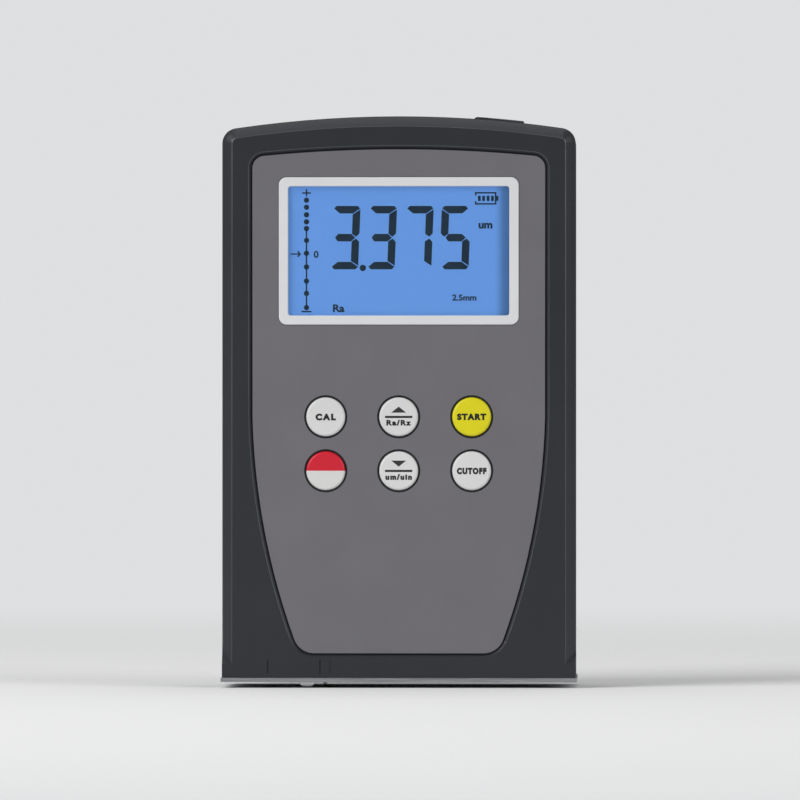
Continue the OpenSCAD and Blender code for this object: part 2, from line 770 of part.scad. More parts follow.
module front_shell() {
    color("#303238") difference() {
        union() {
            difference() {
                case_shell(front_y - over, seam_y);
                panel_recess();
                tongue_ring(fit, seam_y - tongue_l - fit, seam_y + over);
            }
            for (site = board_sites) at(site) rod_y(board_boss_r, inner_front_y - root, board_y);
            for (site = case_sites) at(site) rod_y(case_boss_r, inner_front_y - root, seam_y);
            base_bosses(-base_screw_y);
            intersection() {
                box(
                    [cover_x0 - wall, cover_y0 - wall, port_pad_z],
                    [cover_x1 + wall, seam_y - tongue_l - fit, body_h]
                );
                slab_y(front_y, back_y) polygon(case_outline(wall / 2, base_t));
            }
        }
        at([0, display_z]) slab_y(front_y - over, inner_front_y + over)
            polygon(round_rect(bezel_w + 2 * fit, bezel_h + 2 * fit, bezel_r + fit));
        for (site = key_sites) at(site) rod_y(key_r + fit, front_y - over, inner_front_y + over);
        for (site = board_sites) at(site)
            rod_y(board_screw[1] + fit, board_back_y - board_screw[3] - fit, board_y + over);
        for (site = case_sites) at(site)
            rod_y(case_screw[1] + fit, case_seat_y - case_screw[3] - fit, seam_y + over);
        base_pilots(-base_screw_y);
        box(
            [cover_x0 - cover_gap, cover_y0 - cover_gap, port_floor_z],
            [cover_x1 + cover_gap, cover_y1 + cover_gap, body_h + over]
        );
        translate([port_x, port_y, port_pad_z - over]) cylinder(r = neck_r + fit, h = wall + 2 * over);
        at([knuckle_x, knuckle_z])
            rod_y(port_pin_r, cover_y0 - cover_gap - port_pin_in, cover_y1 + cover_gap + port_pin_in);
        stroke_marks();
    }
}

module rear_shell() {
    color("#2c2e34") difference() {
        union() {
            case_shell(seam_y, back_y + over);
            tongue_ring(0, seam_y - tongue_l, seam_y + over);
            for (site = case_sites) at(site) rod_y(case_boss_r, seam_y, inner_back_y + root);
            base_bosses(base_screw_y);
            box(
                [-bay_w / 2 - bay_wall, bay_y - bay_wall, bay_low_z - bay_wall],
                [bay_w / 2 + bay_wall, inner_back_y + root, bay_high_z + bay_wall]
            );
            for (site = door_sites) at(site) rod_y(door_boss_r, cell_y, inner_back_y + root);
        }
        box([-bay_w / 2, bay_y, bay_low_z], [bay_w / 2, back_y + over, bay_high_z]);
        at([0, bay_z]) slab_y(door_y, back_y + over)
            polygon(round_rect(door_w + 2 * fit, door_h + 2 * fit, door_r + fit));
        for (site = door_sites) at(site) rod_y(door_screw[1] + fit, cell_y + fit, back_y + over);
        for (site = case_sites) at(site) {
            rod_y(case_bore_r, case_seat_y, back_y + over);
            rod_y(case_screw[1] + fit, seam_y - over, back_y);
        }
        base_pilots(base_screw_y);
    }
}

module base_plate() {
    slot_x0 = skid_x - skid_r - stroke_out - slot_gap;
    slot_x1 = stylus_x + stylus_r + stroke_in + slot_gap;
    slot_w = skid_w + 2 * slot_gap;
    color("#b9bbbd") difference() {
        union() {
            box(
                [-body_w / 2 - base_over, front_y - base_over, 0],
                [body_w / 2 + base_over, back_y + base_over, base_t]
            );
            box(
                [pad_gap - inner_x, inner_front_y + pad_gap, 0],
                [inner_x - pad_gap, inner_back_y - pad_gap, pad_top_z]
            );
        }
        translate([(slot_x0 + slot_x1) / 2, probe_y, -over])
            linear_extrude(pad_top_z + 2 * over)
                polygon(round_rect(slot_x1 - slot_x0, slot_w, slot_w / 2 - fit));
        for (x = [-base_screw_x, base_screw_x], y = [-base_screw_y, base_screw_y])
            translate([x, y, 0]) flat_hole(base_screw);
        for (site = drive_sites) translate(site) flat_hole(drive_screw);
    }
}

module front_panel() {
    color("#6d6b70") difference() {
        slab_y(panel_y, floor_y) polygon(panel_outline(0));
        at([0, display_z]) slab_y(panel_y - over, floor_y + over)
            polygon(round_rect(bezel_w + 2 * fit, bezel_h + 2 * fit, bezel_r + fit));
        for (site = key_sites) at(site) rod_y(key_r + key_gap, panel_y - over, floor_y + over);
    }
}

module display_bezel() {
    color("#e6e6e8") at([0, display_z]) difference() {
        union() {
            slab_y(bezel_y, backlight_y) polygon(round_rect(bezel_w, bezel_h, bezel_r));
            slab_y(inner_front_y, backlight_y)
                polygon(round_rect(bezel_w + 2 * bezel_flange, bezel_h + 2 * bezel_flange, bezel_r));
        }
        slab_y(bezel_y - over, lens_y + over) polygon(round_rect(window_w, window_h, window_r));
        slab_y(lens_y, backlight_y + over) square([pocket_w, pocket_h], center = true);
    }
}

module display_lens() {
    color("#dfeaf5", 0.4) at([0, display_z])
        slab_y(lens_y, glass_y) square([glass_w, glass_h], center = true);
}

module lcd_glass() {
    color("#6193d6") at([0, display_z])
        slab_y(glass_y, backlight_y) square([glass_w, glass_h], center = true);
}

module lcd_backlight() {
    color("#cfe2ff") at([0, display_z]) slab_y(backlight_y, board_y)
        square([window_w - 2 * fit, backlight_h], center = true);
}

module lcd_connectors() {
    color("#3a3a3c") for (side = [-1, 1])
        at([0, display_z + side * strip_z]) slab_y(backlight_y, board_y)
            square([window_w, strip_t], center = true);
}

module main_board() {
    color("#1f5a34") difference() {
        box([-board_half_w, board_y, board_low_z], [board_half_w, board_back_y, board_high_z]);
        for (site = board_sites) at(site) rod_y(board_screw[1] + fit, board_y - over, board_back_y + over);
    }
}

module board_components() {
    color("#26272a") for (piece = board_parts)
        at([piece[0][0], display_z + piece[0][1]]) slab_y(board_back_y, board_back_y + piece[1][2])
            square([piece[1][0], piece[1][1]], center = true);
}

module key_switches() {
    color("#3c3d40") for (site = key_sites) at(site) difference() {
        slab_y(switch_y, board_y) square(switch_w, center = true);
        rod_y(plunger_r + run, switch_y - over, switch_y + plunger_well);
    }
}

// Screws that point to the front, with their heads to the back
module back_screws(sites, seat_y, size) {
    color("#8d9096") for (site = sites) at(site)
        translate([0, seat_y, 0]) rotate([-90, 0, 0]) pan_screw(size);
}

module base_screws() {
    color("#8d9096") for (x = [-base_screw_x, base_screw_x], y = [-base_screw_y, base_screw_y])
        translate([x, y, 0]) flat_screw(base_screw);
}

module drive_screws() {
    color("#8d9096") for (site = drive_sites) translate(site) flat_screw(drive_screw);
}

module data_socket() {
    low_z = socket_top_z - socket_l - wall;
    color("#1d1e20") difference() {
        union() {
            box(
                [port_x - socket_half, board_back_y, low_z],
                [port_x + socket_half, port_y + socket_half, socket_body_z]
            );
            translate([port_x, port_y, socket_body_z]) cylinder(r = neck_r, h = socket_top_z - socket_body_z);
        }
        translate([port_x, port_y, socket_top_z - socket_l]) cylinder(r = socket_r, h = socket_l + over);
    }
}

module port_pin() {
    color("#a5a8ac") at([knuckle_x, knuckle_z])
        rod_y(port_pin_r, cover_y0 - cover_gap - port_pin_in, cover_y1 + cover_gap + port_pin_in);
}

// Flap over the data socket, with a knuckle at its left end and a nail notch at its right end
module port_cover() {
    color("#3c3f46") difference() {
        union() {
            at([knuckle_x, knuckle_z]) rod_y(knuckle_r, cover_y0, cover_y1);
            intersection() {
                box([knuckle_x, cover_y0, cover_low_z], [cover_x1, cover_y1, body_h + over]);
                at([0, arch_z]) rod_y(arch_r + cover_proud, cover_y0 - over, cover_y1 + over, $fn = arch_fn);
            }
        }
        at([knuckle_x, knuckle_z]) rod_y(port_pin_r + run, cover_y0 - over, cover_y1 + over);
        box(
            [cover_x1 - root, port_y - cover_shift - knuckle_r, cover_low_z - over],
            [cover_x1 + over, port_y - cover_shift + knuckle_r, body_h + over]
        );
    }
}

// Cell number i; every second cell stands on its nub
module battery_cell(i) {
    x = (i - (cell_count - 1) / 2) * cell_pitch;
    low_z = i % 2 == 0 ? bay_low_z + leaf_h : bay_high_z - leaf_h;
    color(i % 2 == 0 ? "#5a6470" : "#66707c")
        translate([x, cell_y, low_z]) rotate([i % 2 == 0 ? 0 : 180, 0, 0]) {
            cylinder(r = cell_r, h = cell_l - cell_nub_h);
            translate([0, 0, cell_l - cell_nub_h]) cylinder(r = cell_nub_r, h = cell_nub_h);
        }
}

// A folded leaf under each cell and a flat plate above its nub
module battery_contacts() {
    leaf = cell_r - root;
    slant = 3 * contact_t;
    color("#c7c3b0") for (i = [0:cell_count - 1])
        translate([(i - (cell_count - 1) / 2) * cell_pitch, cell_y, bay_z])
        rotate([i % 2 == 0 ? 0 : 180, 0, 0]) {
            slab_x(-contact_w / 2, contact_w / 2) translate([0, -bay_l / 2]) polygon([
                [-leaf, 0], [leaf, 0], [leaf, contact_t], [slant - leaf, leaf_h - contact_t],
                [leaf, leaf_h - contact_t], [leaf, leaf_h], [-leaf, leaf_h], [-leaf, leaf_h - contact_t],
                [leaf - slant, contact_t], [-leaf, contact_t]
            ]);
            slab_x(-contact_w / 2, contact_w / 2)
                translate([-leaf, bay_l / 2 - contact_t]) square([2 * leaf, contact_t]);
        }
}

module battery_leads() {
    rise = 2 * bay_wall;
    low_z = bay_low_z + rise;
    color("#a02a24") for (side = [-1, 1]) {
        x = side * cell_pitch * (cell_count - 1) / 2;
        mid_y = (bay_y - bay_wall + board_back_y) / 2;
        lead([
            [x, bay_y - bay_wall, low_z], [x, mid_y + rise / 2, low_z],
            [x, mid_y - rise / 2, low_z + rise], [x, board_back_y, low_z + rise]
        ]);
    }
}

// Flat door with ribs inside and a counterbore for each of its screws
module battery_door() {
    seat_y = back_y - door_screw[2];
    color("#2e3036") difference() {
        union() {
            at([0, bay_z]) slab_y(door_y, back_y) polygon(round_rect(door_w, door_h, door_r));
            for (i = [-1:1]) at([0, bay_z + i * door_rib_pitch])
                slab_y(door_y - door_rib, door_y) square([bay_w - 2 * bay_gap, bay_wall], center = true);
        }
        for (site = door_sites) at(site) {
            rod_y(door_screw[0] + fit, seat_y, back_y + over);
            rod_y(door_screw[1] + fit, door_y - over, back_y);
        }
    }
}

// Bent frame that carries the rods, the lead screw and the motor
module drive_frame() {
    color("#9a9da1") difference() {
        slab_y(frame_y, frame_y + frame_w) polygon([
            [frame_x0 - frame_t, frame_z], [frame_x1 + frame_t, frame_z],
            [frame_x1 + frame_t, frame_z + frame_h], [frame_x1, frame_z + frame_h],
            [frame_x1, frame_z + frame_floor], [frame_x0, frame_z + frame_floor],
            [frame_x0, frame_z + frame_h], [frame_x0 - frame_t, frame_z + frame_h]
        ]);
        for (y = rod_sites)
            translate([0, y, screw_z]) rod_x(rod_r, frame_x0 - frame_t - over, frame_x1 + frame_t + over);
        translate([0, screw_y, screw_z]) rod_x(bush_r, frame_x0 - frame_t - over, frame_x1 + frame_t + over);
        for (site = drive_sites)
            translate([site[0], site[1], frame_z - over])
                cylinder(r = drive_screw[1] + fit, h = frame_floor + 2 * over);
    }
}

module guide_rods() {
    color("#c4c7ca") for (y = rod_sites)
        translate([0, y, screw_z]) rod_x(rod_r, frame_x0 - frame_t, frame_x1 + frame_t);
}

module screw_bushes() {
    color("#b08a4a") for (x = [frame_x0 - frame_t, frame_x1]) translate([x, screw_y, screw_z]) difference() {
        rod_x(bush_r, 0, frame_t);
        rod_x(journal_r + run, -over, frame_t + over);
    }
}

module lead_screw() {
    color("#b4b7bb") translate([0, screw_y, screw_z]) {
        rod_x(journal_r, frame_x0 - frame_t, gearbox_x + shaft_in);
        rod_x(screw_r, frame_x0 + thread_gap, frame_x1 - thread_gap);
    }
}

module drive_gearbox() {
    color("#b99a55") difference() {
        box(
            [gearbox_x, screw_y - motor_w / 2, screw_z - motor_h / 2],
            [motor_x, screw_y + motor_w / 2, screw_z + motor_h / 2]
        );
        translate([0, screw_y, screw_z])
            rod_x(journal_r + run, gearbox_x - over, gearbox_x + shaft_in + thread_gap);
    }
}

// Round motor can with two flats
module drive_motor() {
    color("#a9acb0") translate([0, screw_y, screw_z]) {
        intersection() {
            rod_x(motor_w / 2, motor_x, motor_end_x);
            box([motor_x - over, -motor_w, -motor_h / 2], [motor_end_x + over, motor_w, motor_h / 2]);
        }
        rod_x(journal_r + over, motor_end_x, motor_end_x + over);
    }
}

// A pair of leads from the motor's end up to the board
module motor_leads() {
    turn_x = inner_x - 2 * lead_r;
    rise_z = screw_z + motor_w;
    cross_z = rise_z + motor_h / 2;
    land_z = board_low_z + motor_w / 2;
    color("#a02a24") for (side = [-1, 1]) {
        y = screw_y + side * journal_r - motor_h / 4;
        x = board_screw_x - motor_w / 3 - side * 2 * lead_r;
        z = screw_z + journal_r + over + 2 * lead_r;
        lead([
            [motor_end_x, y, z], [turn_x, y, z], [turn_x, y, rise_z],
            [x, board_back_y / 2, cross_z], [x, board_back_y / 2, land_z], [x, board_back_y, land_z]
        ]);
    }
}

module limit_switches() {
    x0 = dog_x - dog / 2 - stroke_out - dog_gap - limit_size[0];
    x1 = dog_x + dog / 2 + stroke_in + dog_gap;
    color("#2b2c30") for (x = [x0, x1])
        translate([x, screw_y - limit_size[1] / 2, frame_z + frame_floor]) cube(limit_size);
}

// Slide on the rods, with a bridge and two ears that hold the probe's pivot
module carriage() {
    ear_x0 = pivot_x - lug_half;
    ear_x1 = pivot_x + lug_half;
    ear_low_z = probe_z - lug_half;
    color("#d9d4c4") difference() {
        union() {
            box(
                [carriage_x, carriage_y, carriage_z],
                [carriage_x + carriage_l, carriage_y + carriage_w, carriage_top_z]
            );
            box(
                [dog_x - dog / 2, screw_y - dog / 2, carriage_z - dog],
                [dog_x + dog / 2, screw_y + dog / 2, carriage_z]
            );
            box([ear_x0, ear_y - ear_t, bridge_z], [ear_x1, carriage_y, carriage_top_z]);
            box([ear_x0, ear_y - ear_t, ear_low_z], [ear_x1, ear_y, bridge_z]);
            box([ear_x0, inner_ear_y, ear_low_z], [ear_x1, carriage_y, bridge_z]);
        }
        for (y = rod_sites)
            translate([0, y, screw_z]) rod_x(rod_r + run, carriage_x - over, carriage_x + carriage_l + over);
        translate([0, screw_y, screw_z]) rod_x(nut_r, carriage_x - over, carriage_x + carriage_l + over);
        at([pivot_x, probe_z]) rod_y(pivot_r, ear_y - ear_t - over, carriage_y);
    }
}

module drive_nut() {
    color("#b08a4a") translate([0, screw_y, screw_z]) difference() {
        rod_x(nut_r, carriage_x, carriage_x + carriage_l);
        rod_x(screw_r + run, carriage_x - over, carriage_x + carriage_l + over);
    }
}

module pivot_pin() {
    color("#c4c7ca") at([pivot_x, probe_z]) rod_y(pivot_r, ear_y - ear_t, carriage_y);
}

// Leaf under the bridge that presses the probe down
module pickup_spring() {
    foot_x = lever_x + leaf_w / 2;
    bend_x = pivot_x - lug_half;
    color("#b7b9bd") slab_y(probe_y - leaf_w / 2, probe_y + leaf_w / 2) polygon([
        [pivot_x + lug_half, bridge_z], [bend_x, bridge_z], [foot_x, probe_top_z + leaf_t],
        [lever_x, probe_top_z + leaf_t], [lever_x, probe_top_z], [foot_x, probe_top_z],
        [bend_x, bridge_z - leaf_t], [pivot_x + lug_half, bridge_z - leaf_t]
    ]);
}

// Tube of the probe with the lug that it pivots on
module probe_tube() {
    color("#a6a9ad") difference() {
        union() {
            translate([0, probe_y, probe_z]) rod_x(probe_r, probe_x, probe_end_x);
            at([pivot_x, probe_z]) rod_y(lug_half, probe_y - lug_w / 2, probe_y + lug_w / 2);
        }
        translate([0, probe_y, probe_z]) rod_x(probe_bore_r, probe_x - over, coil_x + coil_l + fit);
        at([pivot_x, probe_z]) rod_y(pivot_r + run, probe_y - lug_w, probe_y + lug_w);
        at([lever_x, lever_z]) rod_y(stylus_pin_r, probe_y - probe_r - over, probe_y + probe_r + over);
    }
}

// Polished foot that slides on the work, on an arm from the tube's mouth
module skid() {
    foot_z = skid_r - skid_drop;
    left_x = skid_x - skid_r;
    slot_h = lever_t / 2 + lever_gap;
    slot_w = lever_w / 2 + lever_gap;
    color("#c9ccd0") difference() {
        union() {
            translate([0, probe_y, probe_z]) rod_x(probe_r, probe_x - collar_l, probe_x);
            translate([0, probe_y, probe_z]) rod_x(probe_bore_r - fit, probe_x, probe_x + spigot_l);
            translate([0, probe_y, 0]) {
                box(
                    [left_x, -skid_w / 2, probe_top_z - arm_t],
                    [probe_x - collar_l / 2, skid_w / 2, probe_top_z - fit]
                );
                box([left_x, -skid_w / 2, foot_z], [skid_x + skid_r, skid_w / 2, probe_top_z - fit]);
                at([skid_x, foot_z]) rod_y(skid_r, -skid_w / 2, skid_w / 2);
            }
        }
        translate([0, probe_y, lever_z])
            box([probe_x - collar_l - over, -slot_w, -slot_h], [probe_x + spigot_l + over, slot_w, slot_h]);
    }
}

// Two halves of the coil, above and below the lever
module sensor_coils() {
    slot_h = lever_t / 2 + lever_gap;
    color("#9c5b33") difference() {
        translate([0, probe_y, probe_z]) rod_x(probe_bore_r - fit, coil_x, coil_x + coil_l);
        translate([0, probe_y, lever_z])
            box([coil_x - over, -probe_r, -slot_h], [coil_x + coil_l + over, probe_r, slot_h]);
    }
}

module stylus_pin() {
    reach = sqrt(pow(probe_r, 2) - pow(lever_drop, 2)) - fit;
    color("#c4c7ca") at([lever_x, lever_z]) rod_y(stylus_pin_r, probe_y - reach, probe_y + reach);
}

// Balanced lever with the stylus at one end and the coil core at the other
module stylus_lever() {
    color("#d2d5d8") difference() {
        union() {
            translate([0, probe_y, lever_z]) box(
                [stylus_x - lever_t, -lever_w / 2, -lever_t / 2],
                [lever_end_x - lever_gap, lever_w / 2, lever_t / 2]
            );
            at([lever_x, lever_z]) rod_y(lever_t - run, probe_y - lever_w / 2, probe_y + lever_w / 2);
            translate([stylus_x, probe_y, tip_z + tip_h])
                cylinder(r = stylus_r, h = lever_z - tip_z - tip_h);
        }
        at([lever_x, lever_z]) rod_y(stylus_pin_r + run, probe_y - lever_w, probe_y + lever_w);
    }
}

module stylus_tip() {
    color("#e8e2c8") translate([stylus_x, probe_y, tip_z]) cylinder(r1 = tip_r, r2 = stylus_r, h = tip_h);
}

// Turned key cap with the flange that keeps it in
module key_cap(i) {
    flange = flange_y - key_y;
    stem_r = key_r / 2;
    color(key_colours[i]) at(key_sites[i])
        translate([0, key_y, 0]) rotate([-90, 0, 0]) rotate_extrude() polygon([
            [0, 0], [key_r - key_edge, 0], [key_r, key_edge], [key_r, flange], [key_flange_r, flange],
            [key_flange_r, flange + key_flange_t], [stem_r, flange + key_flange_t],
            [stem_r, plunger_y - key_y], [0, plunger_y - key_y]
        ]);
}

module plunger(i) {
    color("#c9c4b8") at(key_sites[i]) rod_y(plunger_r, plunger_y, switch_y + plunger_in);
}

front_shell();
rear_shell();
base_plate();
front_panel();
display_bezel();
display_lens();
lcd_glass();
lcd_backlight();
lcd_connectors();
main_board();
board_components();
key_switches();
back_screws(board_sites, board_back_y, board_screw);  // board_screws
back_screws(case_sites, case_seat_y, case_screw);  // case_screws
base_screws();
drive_screws();
data_socket();
port_pin();
port_cover();
battery_cell(0);  // battery_cell_1
battery_cell(1);  // battery_cell_2
battery_cell(2);  // battery_cell_3
battery_cell(3);  // battery_cell_4
battery_contacts();
battery_leads();
battery_door();
back_screws(door_sites, back_y - door_screw[2], door_screw);  // door_screws
drive_frame();
guide_rods();
screw_bushes();
lead_screw();
drive_gearbox();
drive_motor();
motor_leads();
limit_switches();
carriage();
drive_nut();
pivot_pin();
pickup_spring();
probe_tube();
skid();
sensor_coils();
stylus_pin();
stylus_lever();
stylus_tip();
key_cap(0);  // key_cal
key_cap(1);  // key_up
key_cap(2);  // key_start
key_cap(3);  // key_power
key_cap(4);  // key_down
key_cap(5);  // key_cutoff
plunger(0);  // plunger_cal
plunger(1);  // plunger_up
plunger(2);  // plunger_start
plunger(3);  // plunger_power
plunger(4);  // plunger_down
plunger(5);  // plunger_cutoff
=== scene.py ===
"""Looks of a pocket surface roughness tester: moulded case, printed keys, backlit display, ground base."""
import json
import math

import bmesh
import bpy
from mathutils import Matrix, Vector
from mathutils.geometry import delaunay_2d_cdt


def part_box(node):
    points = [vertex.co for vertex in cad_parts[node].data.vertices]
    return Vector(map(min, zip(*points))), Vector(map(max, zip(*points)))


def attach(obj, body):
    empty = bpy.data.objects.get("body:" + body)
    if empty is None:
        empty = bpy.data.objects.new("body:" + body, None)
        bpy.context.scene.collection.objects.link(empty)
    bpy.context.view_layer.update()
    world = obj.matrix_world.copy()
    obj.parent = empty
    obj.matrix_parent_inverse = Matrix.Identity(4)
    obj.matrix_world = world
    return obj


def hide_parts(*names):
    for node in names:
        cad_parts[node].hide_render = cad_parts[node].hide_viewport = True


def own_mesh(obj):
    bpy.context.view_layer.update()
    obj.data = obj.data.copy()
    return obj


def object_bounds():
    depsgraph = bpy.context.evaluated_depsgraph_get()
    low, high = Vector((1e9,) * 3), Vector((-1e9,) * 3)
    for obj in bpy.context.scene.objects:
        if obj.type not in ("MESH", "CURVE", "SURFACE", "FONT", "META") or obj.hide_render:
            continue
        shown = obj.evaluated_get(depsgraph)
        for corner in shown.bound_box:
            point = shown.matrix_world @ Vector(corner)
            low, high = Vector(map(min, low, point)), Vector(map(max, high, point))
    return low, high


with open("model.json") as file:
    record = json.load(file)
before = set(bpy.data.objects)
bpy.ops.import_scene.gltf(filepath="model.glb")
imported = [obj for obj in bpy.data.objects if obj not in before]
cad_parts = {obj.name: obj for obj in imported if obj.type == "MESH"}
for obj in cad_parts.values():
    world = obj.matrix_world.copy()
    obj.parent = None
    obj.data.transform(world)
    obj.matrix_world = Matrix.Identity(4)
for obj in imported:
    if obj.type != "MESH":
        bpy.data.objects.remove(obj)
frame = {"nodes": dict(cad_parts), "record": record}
cad_box = [list(corner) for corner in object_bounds()]
nodes = frame["nodes"]
behaviour = frame["record"]["behaviour"]
body_of = {node: body for body, members in behaviour["bodies"].items() for node in members}
slot_of = {part["node"]: part["material_slot"] for part in frame["record"]["subparts"]}
MM = 0.001


def in_mm(length):
    """A length of the frame in mm, to a tenth."""
    return round(length / MM, 1)


def middle(node):
    """The middle of a node's box in mm, to a tenth."""
    low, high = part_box(node)
    return [in_mm(c) for c in (low + high) / 2]


# Places of the frame in mm: the keys' middles as x and z, faces as y, the floor as z
KEYS = {key: middle(f"key_{key}")[::2] for key in ("cal", "up", "start", "power", "down", "cutoff")}
KEY_FRONT = in_mm(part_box("key_cal")[0].y)
LCD_FRONT = in_mm(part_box("lcd_glass")[0].y)
LENS_FRONT = in_mm(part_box("display_lens")[0].y)
CASE_FRONT = in_mm(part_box("front_shell")[0].y)
CASE_BACK = in_mm(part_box("rear_shell")[1].y)
FLOOR_Z = in_mm(cad_box[0][2])

# Sizes and places in mm that the materials use: half of the display that shows, the ends of the print on
# a cell's sleeve, the reach of a key's two tones, the drift in a plastic's tone, the pitch of the traces
LCD_HALF = 25.5
SLEEVE_FOOT = 55.0
SLEEVE_HEAD = 101.0
KEY_REACH = 5.0
TONE_DRIFT = 14.0
TRACE_PITCH = 9.0


# Materials

def linear(code):
    """The linear colour of an sRGB hex code."""
    parts = [int(code[i:i + 2], 16) / 255 for i in (1, 3, 5)]
    return (*[c / 12.92 if c <= 0.04045 else ((c + 0.055) / 1.055) ** 2.4 for c in parts], 1.0)


def add(tree, kind, inputs=None, **settings):
    """Adds a node, with its settings and its inputs, which are values or other nodes' outputs."""
    node = tree.nodes.new(kind)
    for name, value in settings.items():
        setattr(node, name, value)
    for name, value in (inputs or {}).items():
        if isinstance(value, bpy.types.NodeSocket):
            tree.links.new(value, node.inputs[name])
        else:
            node.inputs[name].default_value = value
    return node


def start(name, **surface):
    """A new material with constants on its shader, and its tree, its shader and its object coordinates."""
    material = bpy.data.materials.new(name)
    material.use_nodes = True
    tree = material.node_tree
    shader = tree.nodes["Principled BSDF"]
    for socket, value in surface.items():
        shader.inputs[socket.replace("_", " ")].default_value = value
    return material, tree, shader, add(tree, "ShaderNodeTexCoord").outputs["Object"]


def wire(tree, shader, **sources):
    """Links the outputs of other nodes to the shader's inputs."""
    for socket, source in sources.items():
        tree.links.new(source, shader.inputs[socket.replace("_", " ")])


def noise(tree, place, size_mm, detail):
    """Noise with spots of about a size in mm."""
    inputs = {"Vector": place, "Scale": 1 / (size_mm * MM), "Detail": detail}
    return add(tree, "ShaderNodeTexNoise", inputs).outputs["Fac"]


def spread(tree, value, low, high):
    """A value from 0 to 1, spread over a range."""
    return add(tree, "ShaderNodeMapRange", {"Value": value, "To Min": low, "To Max": high}).outputs["Result"]


def along(tree, place, axis, from_mm, to_mm):
    """The share of the way between two places on an axis, from 0 to 1."""
    inputs = {"Value": add(tree, "ShaderNodeSeparateXYZ", {"Vector": place}).outputs[axis],
              "From Min": from_mm * MM, "From Max": to_mm * MM}
    return add(tree, "ShaderNodeMapRange", inputs).outputs["Result"]


def ramp(tree, value, stops, crisp=False):
    """The colour at a value from 0 to 1, from stops that are a place and a hex code each."""
    node = add(tree, "ShaderNodeValToRGB", {"Fac": value})
    for i, (at, code) in enumerate(stops):
        element = node.color_ramp.elements[i] if i < 2 else node.color_ramp.elements.new(at)
        element.position = at
        element.color = linear(code)
    if crisp:
        node.color_ramp.interpolation = "CONSTANT"
    return node.outputs["Color"]


def relief(tree, height, depth_mm, strength):
    """A bump of a depth in mm."""
    inputs = {"Height": height, "Distance": depth_mm * MM, "Strength": strength}
    return add(tree, "ShaderNodeBump", inputs).outputs["Normal"]


def moulded_plastic(name, dark, light, rough, grain_mm, relief_mm, ior=1.53):
    """Moulded plastic: the tool's eroded grain breaks up the gloss, and the tone drifts a little."""
    material, tree, shader, place = start(name, IOR=ior)
    drift = noise(tree, place, TONE_DRIFT, detail=3.0)
    grain = noise(tree, place, grain_mm, detail=2.0)
    wire(tree, shader, Base_Color=ramp(tree, drift, [(0.35, dark), (0.65, light)]),
         Roughness=spread(tree, grain, rough - 0.06, rough + 0.08),
         Normal=relief(tree, grain, relief_mm, strength=0.6))
    return material


def ground_metal(name, dark, light, rough, line_mm, stretch, relief_mm=0.004):
    """Ground, turned or drawn metal: fine lines along one direction, lighter and darker by turns."""
    material, tree, shader, place = start(name, Metallic=1.0)
    run = add(tree, "ShaderNodeMapping", {"Vector": place, "Scale": stretch}).outputs["Vector"]
    lines = noise(tree, run, line_mm, detail=4.0)
    wire(tree, shader, Base_Color=ramp(tree, lines, [(0.3, dark), (0.7, light)]),
         Roughness=spread(tree, lines, rough - 0.08, rough + 0.1),
         Normal=relief(tree, lines, relief_mm, strength=0.5))
    return material


def printed_ink(name, tone):
    """Screen-printed ink: a matt film, slightly uneven where the screen's mesh laid it down."""
    material, tree, shader, place = start(name, IOR=1.5, Base_Color=linear(tone))
    mesh = noise(tree, place, size_mm=0.3, detail=1.0)
    wire(tree, shader, Roughness=spread(tree, mesh, 0.45, 0.6))
    return material


def two_tone_cap(name, upper, lower, split_z):
    """Key cap moulded in two tones, one over the other, with a crisp edge across the middle."""
    material, tree, shader, place = start(name, IOR=1.53)
    height = along(tree, place, "Z", split_z - KEY_REACH, split_z + KEY_REACH)
    grain = noise(tree, place, size_mm=0.5, detail=2.0)
    wire(tree, shader, Base_Color=ramp(tree, height, [(0.0, lower), (0.5, upper)], crisp=True),
         Roughness=spread(tree, grain, 0.34, 0.46))
    return material


def backlit_display(name):
    """Blue backlit liquid crystal: lit evenly from behind, with painted shade of the bezel at the left rim
    and in a strip down the right.
    """
    material, tree, shader, place = start(name, Roughness=0.35, IOR=1.5, Emission_Strength=0.6)
    across = along(tree, place, "X", -LCD_HALF, LCD_HALF)
    # The darker stops at both ends are painted shade that the bezel casts onto the recessed display
    backlight_and_painted_shade = ramp(tree, across, [(0.0, "#4c7bb9"), (0.03, "#5c8dd0"), (0.925, "#5c8dd0"), (0.945, "#527fbd"),
                               (0.963, "#3e69a0"), (1.0, "#3a5e8e")])
    wire(tree, shader, Base_Color=backlight_and_painted_shade, Emission_Color=backlight_and_painted_shade)
    return material


def dark_crystal(name):
    """Turned liquid crystal: nearly black, with a trace of the blue light that leaks through it."""
    material, tree, shader, place = start(name, Base_Color=linear("#06101c"), Roughness=0.6,
                                          Specular_IOR_Level=0.15, Emission_Strength=0.06)
    leak = noise(tree, place, size_mm=3, detail=1.0)
    wire(tree, shader, Emission_Color=ramp(tree, leak, [(0.3, "#478cbc"), (0.7, "#579ccc")]))
    return material


def solder_mask(name):
    """Glass laminate under green solder mask, with paler traces that show through."""
    material, tree, shader, place = start(name, Roughness=0.32, IOR=1.52)
    turn = add(tree, "ShaderNodeMapping", {"Vector": place, "Rotation": (math.radians(90), 0, 0)})
    traces = add(tree, "ShaderNodeTexBrick", {
        "Vector": turn.outputs["Vector"], "Color1": linear("#1d5a34"), "Color2": linear("#215f39"),
        "Mortar": linear("#3f8a55"), "Scale": 1 / (TRACE_PITCH * MM), "Mortar Size": 0.012})
    wire(tree, shader, Base_Color=traces.outputs["Color"])
    return material


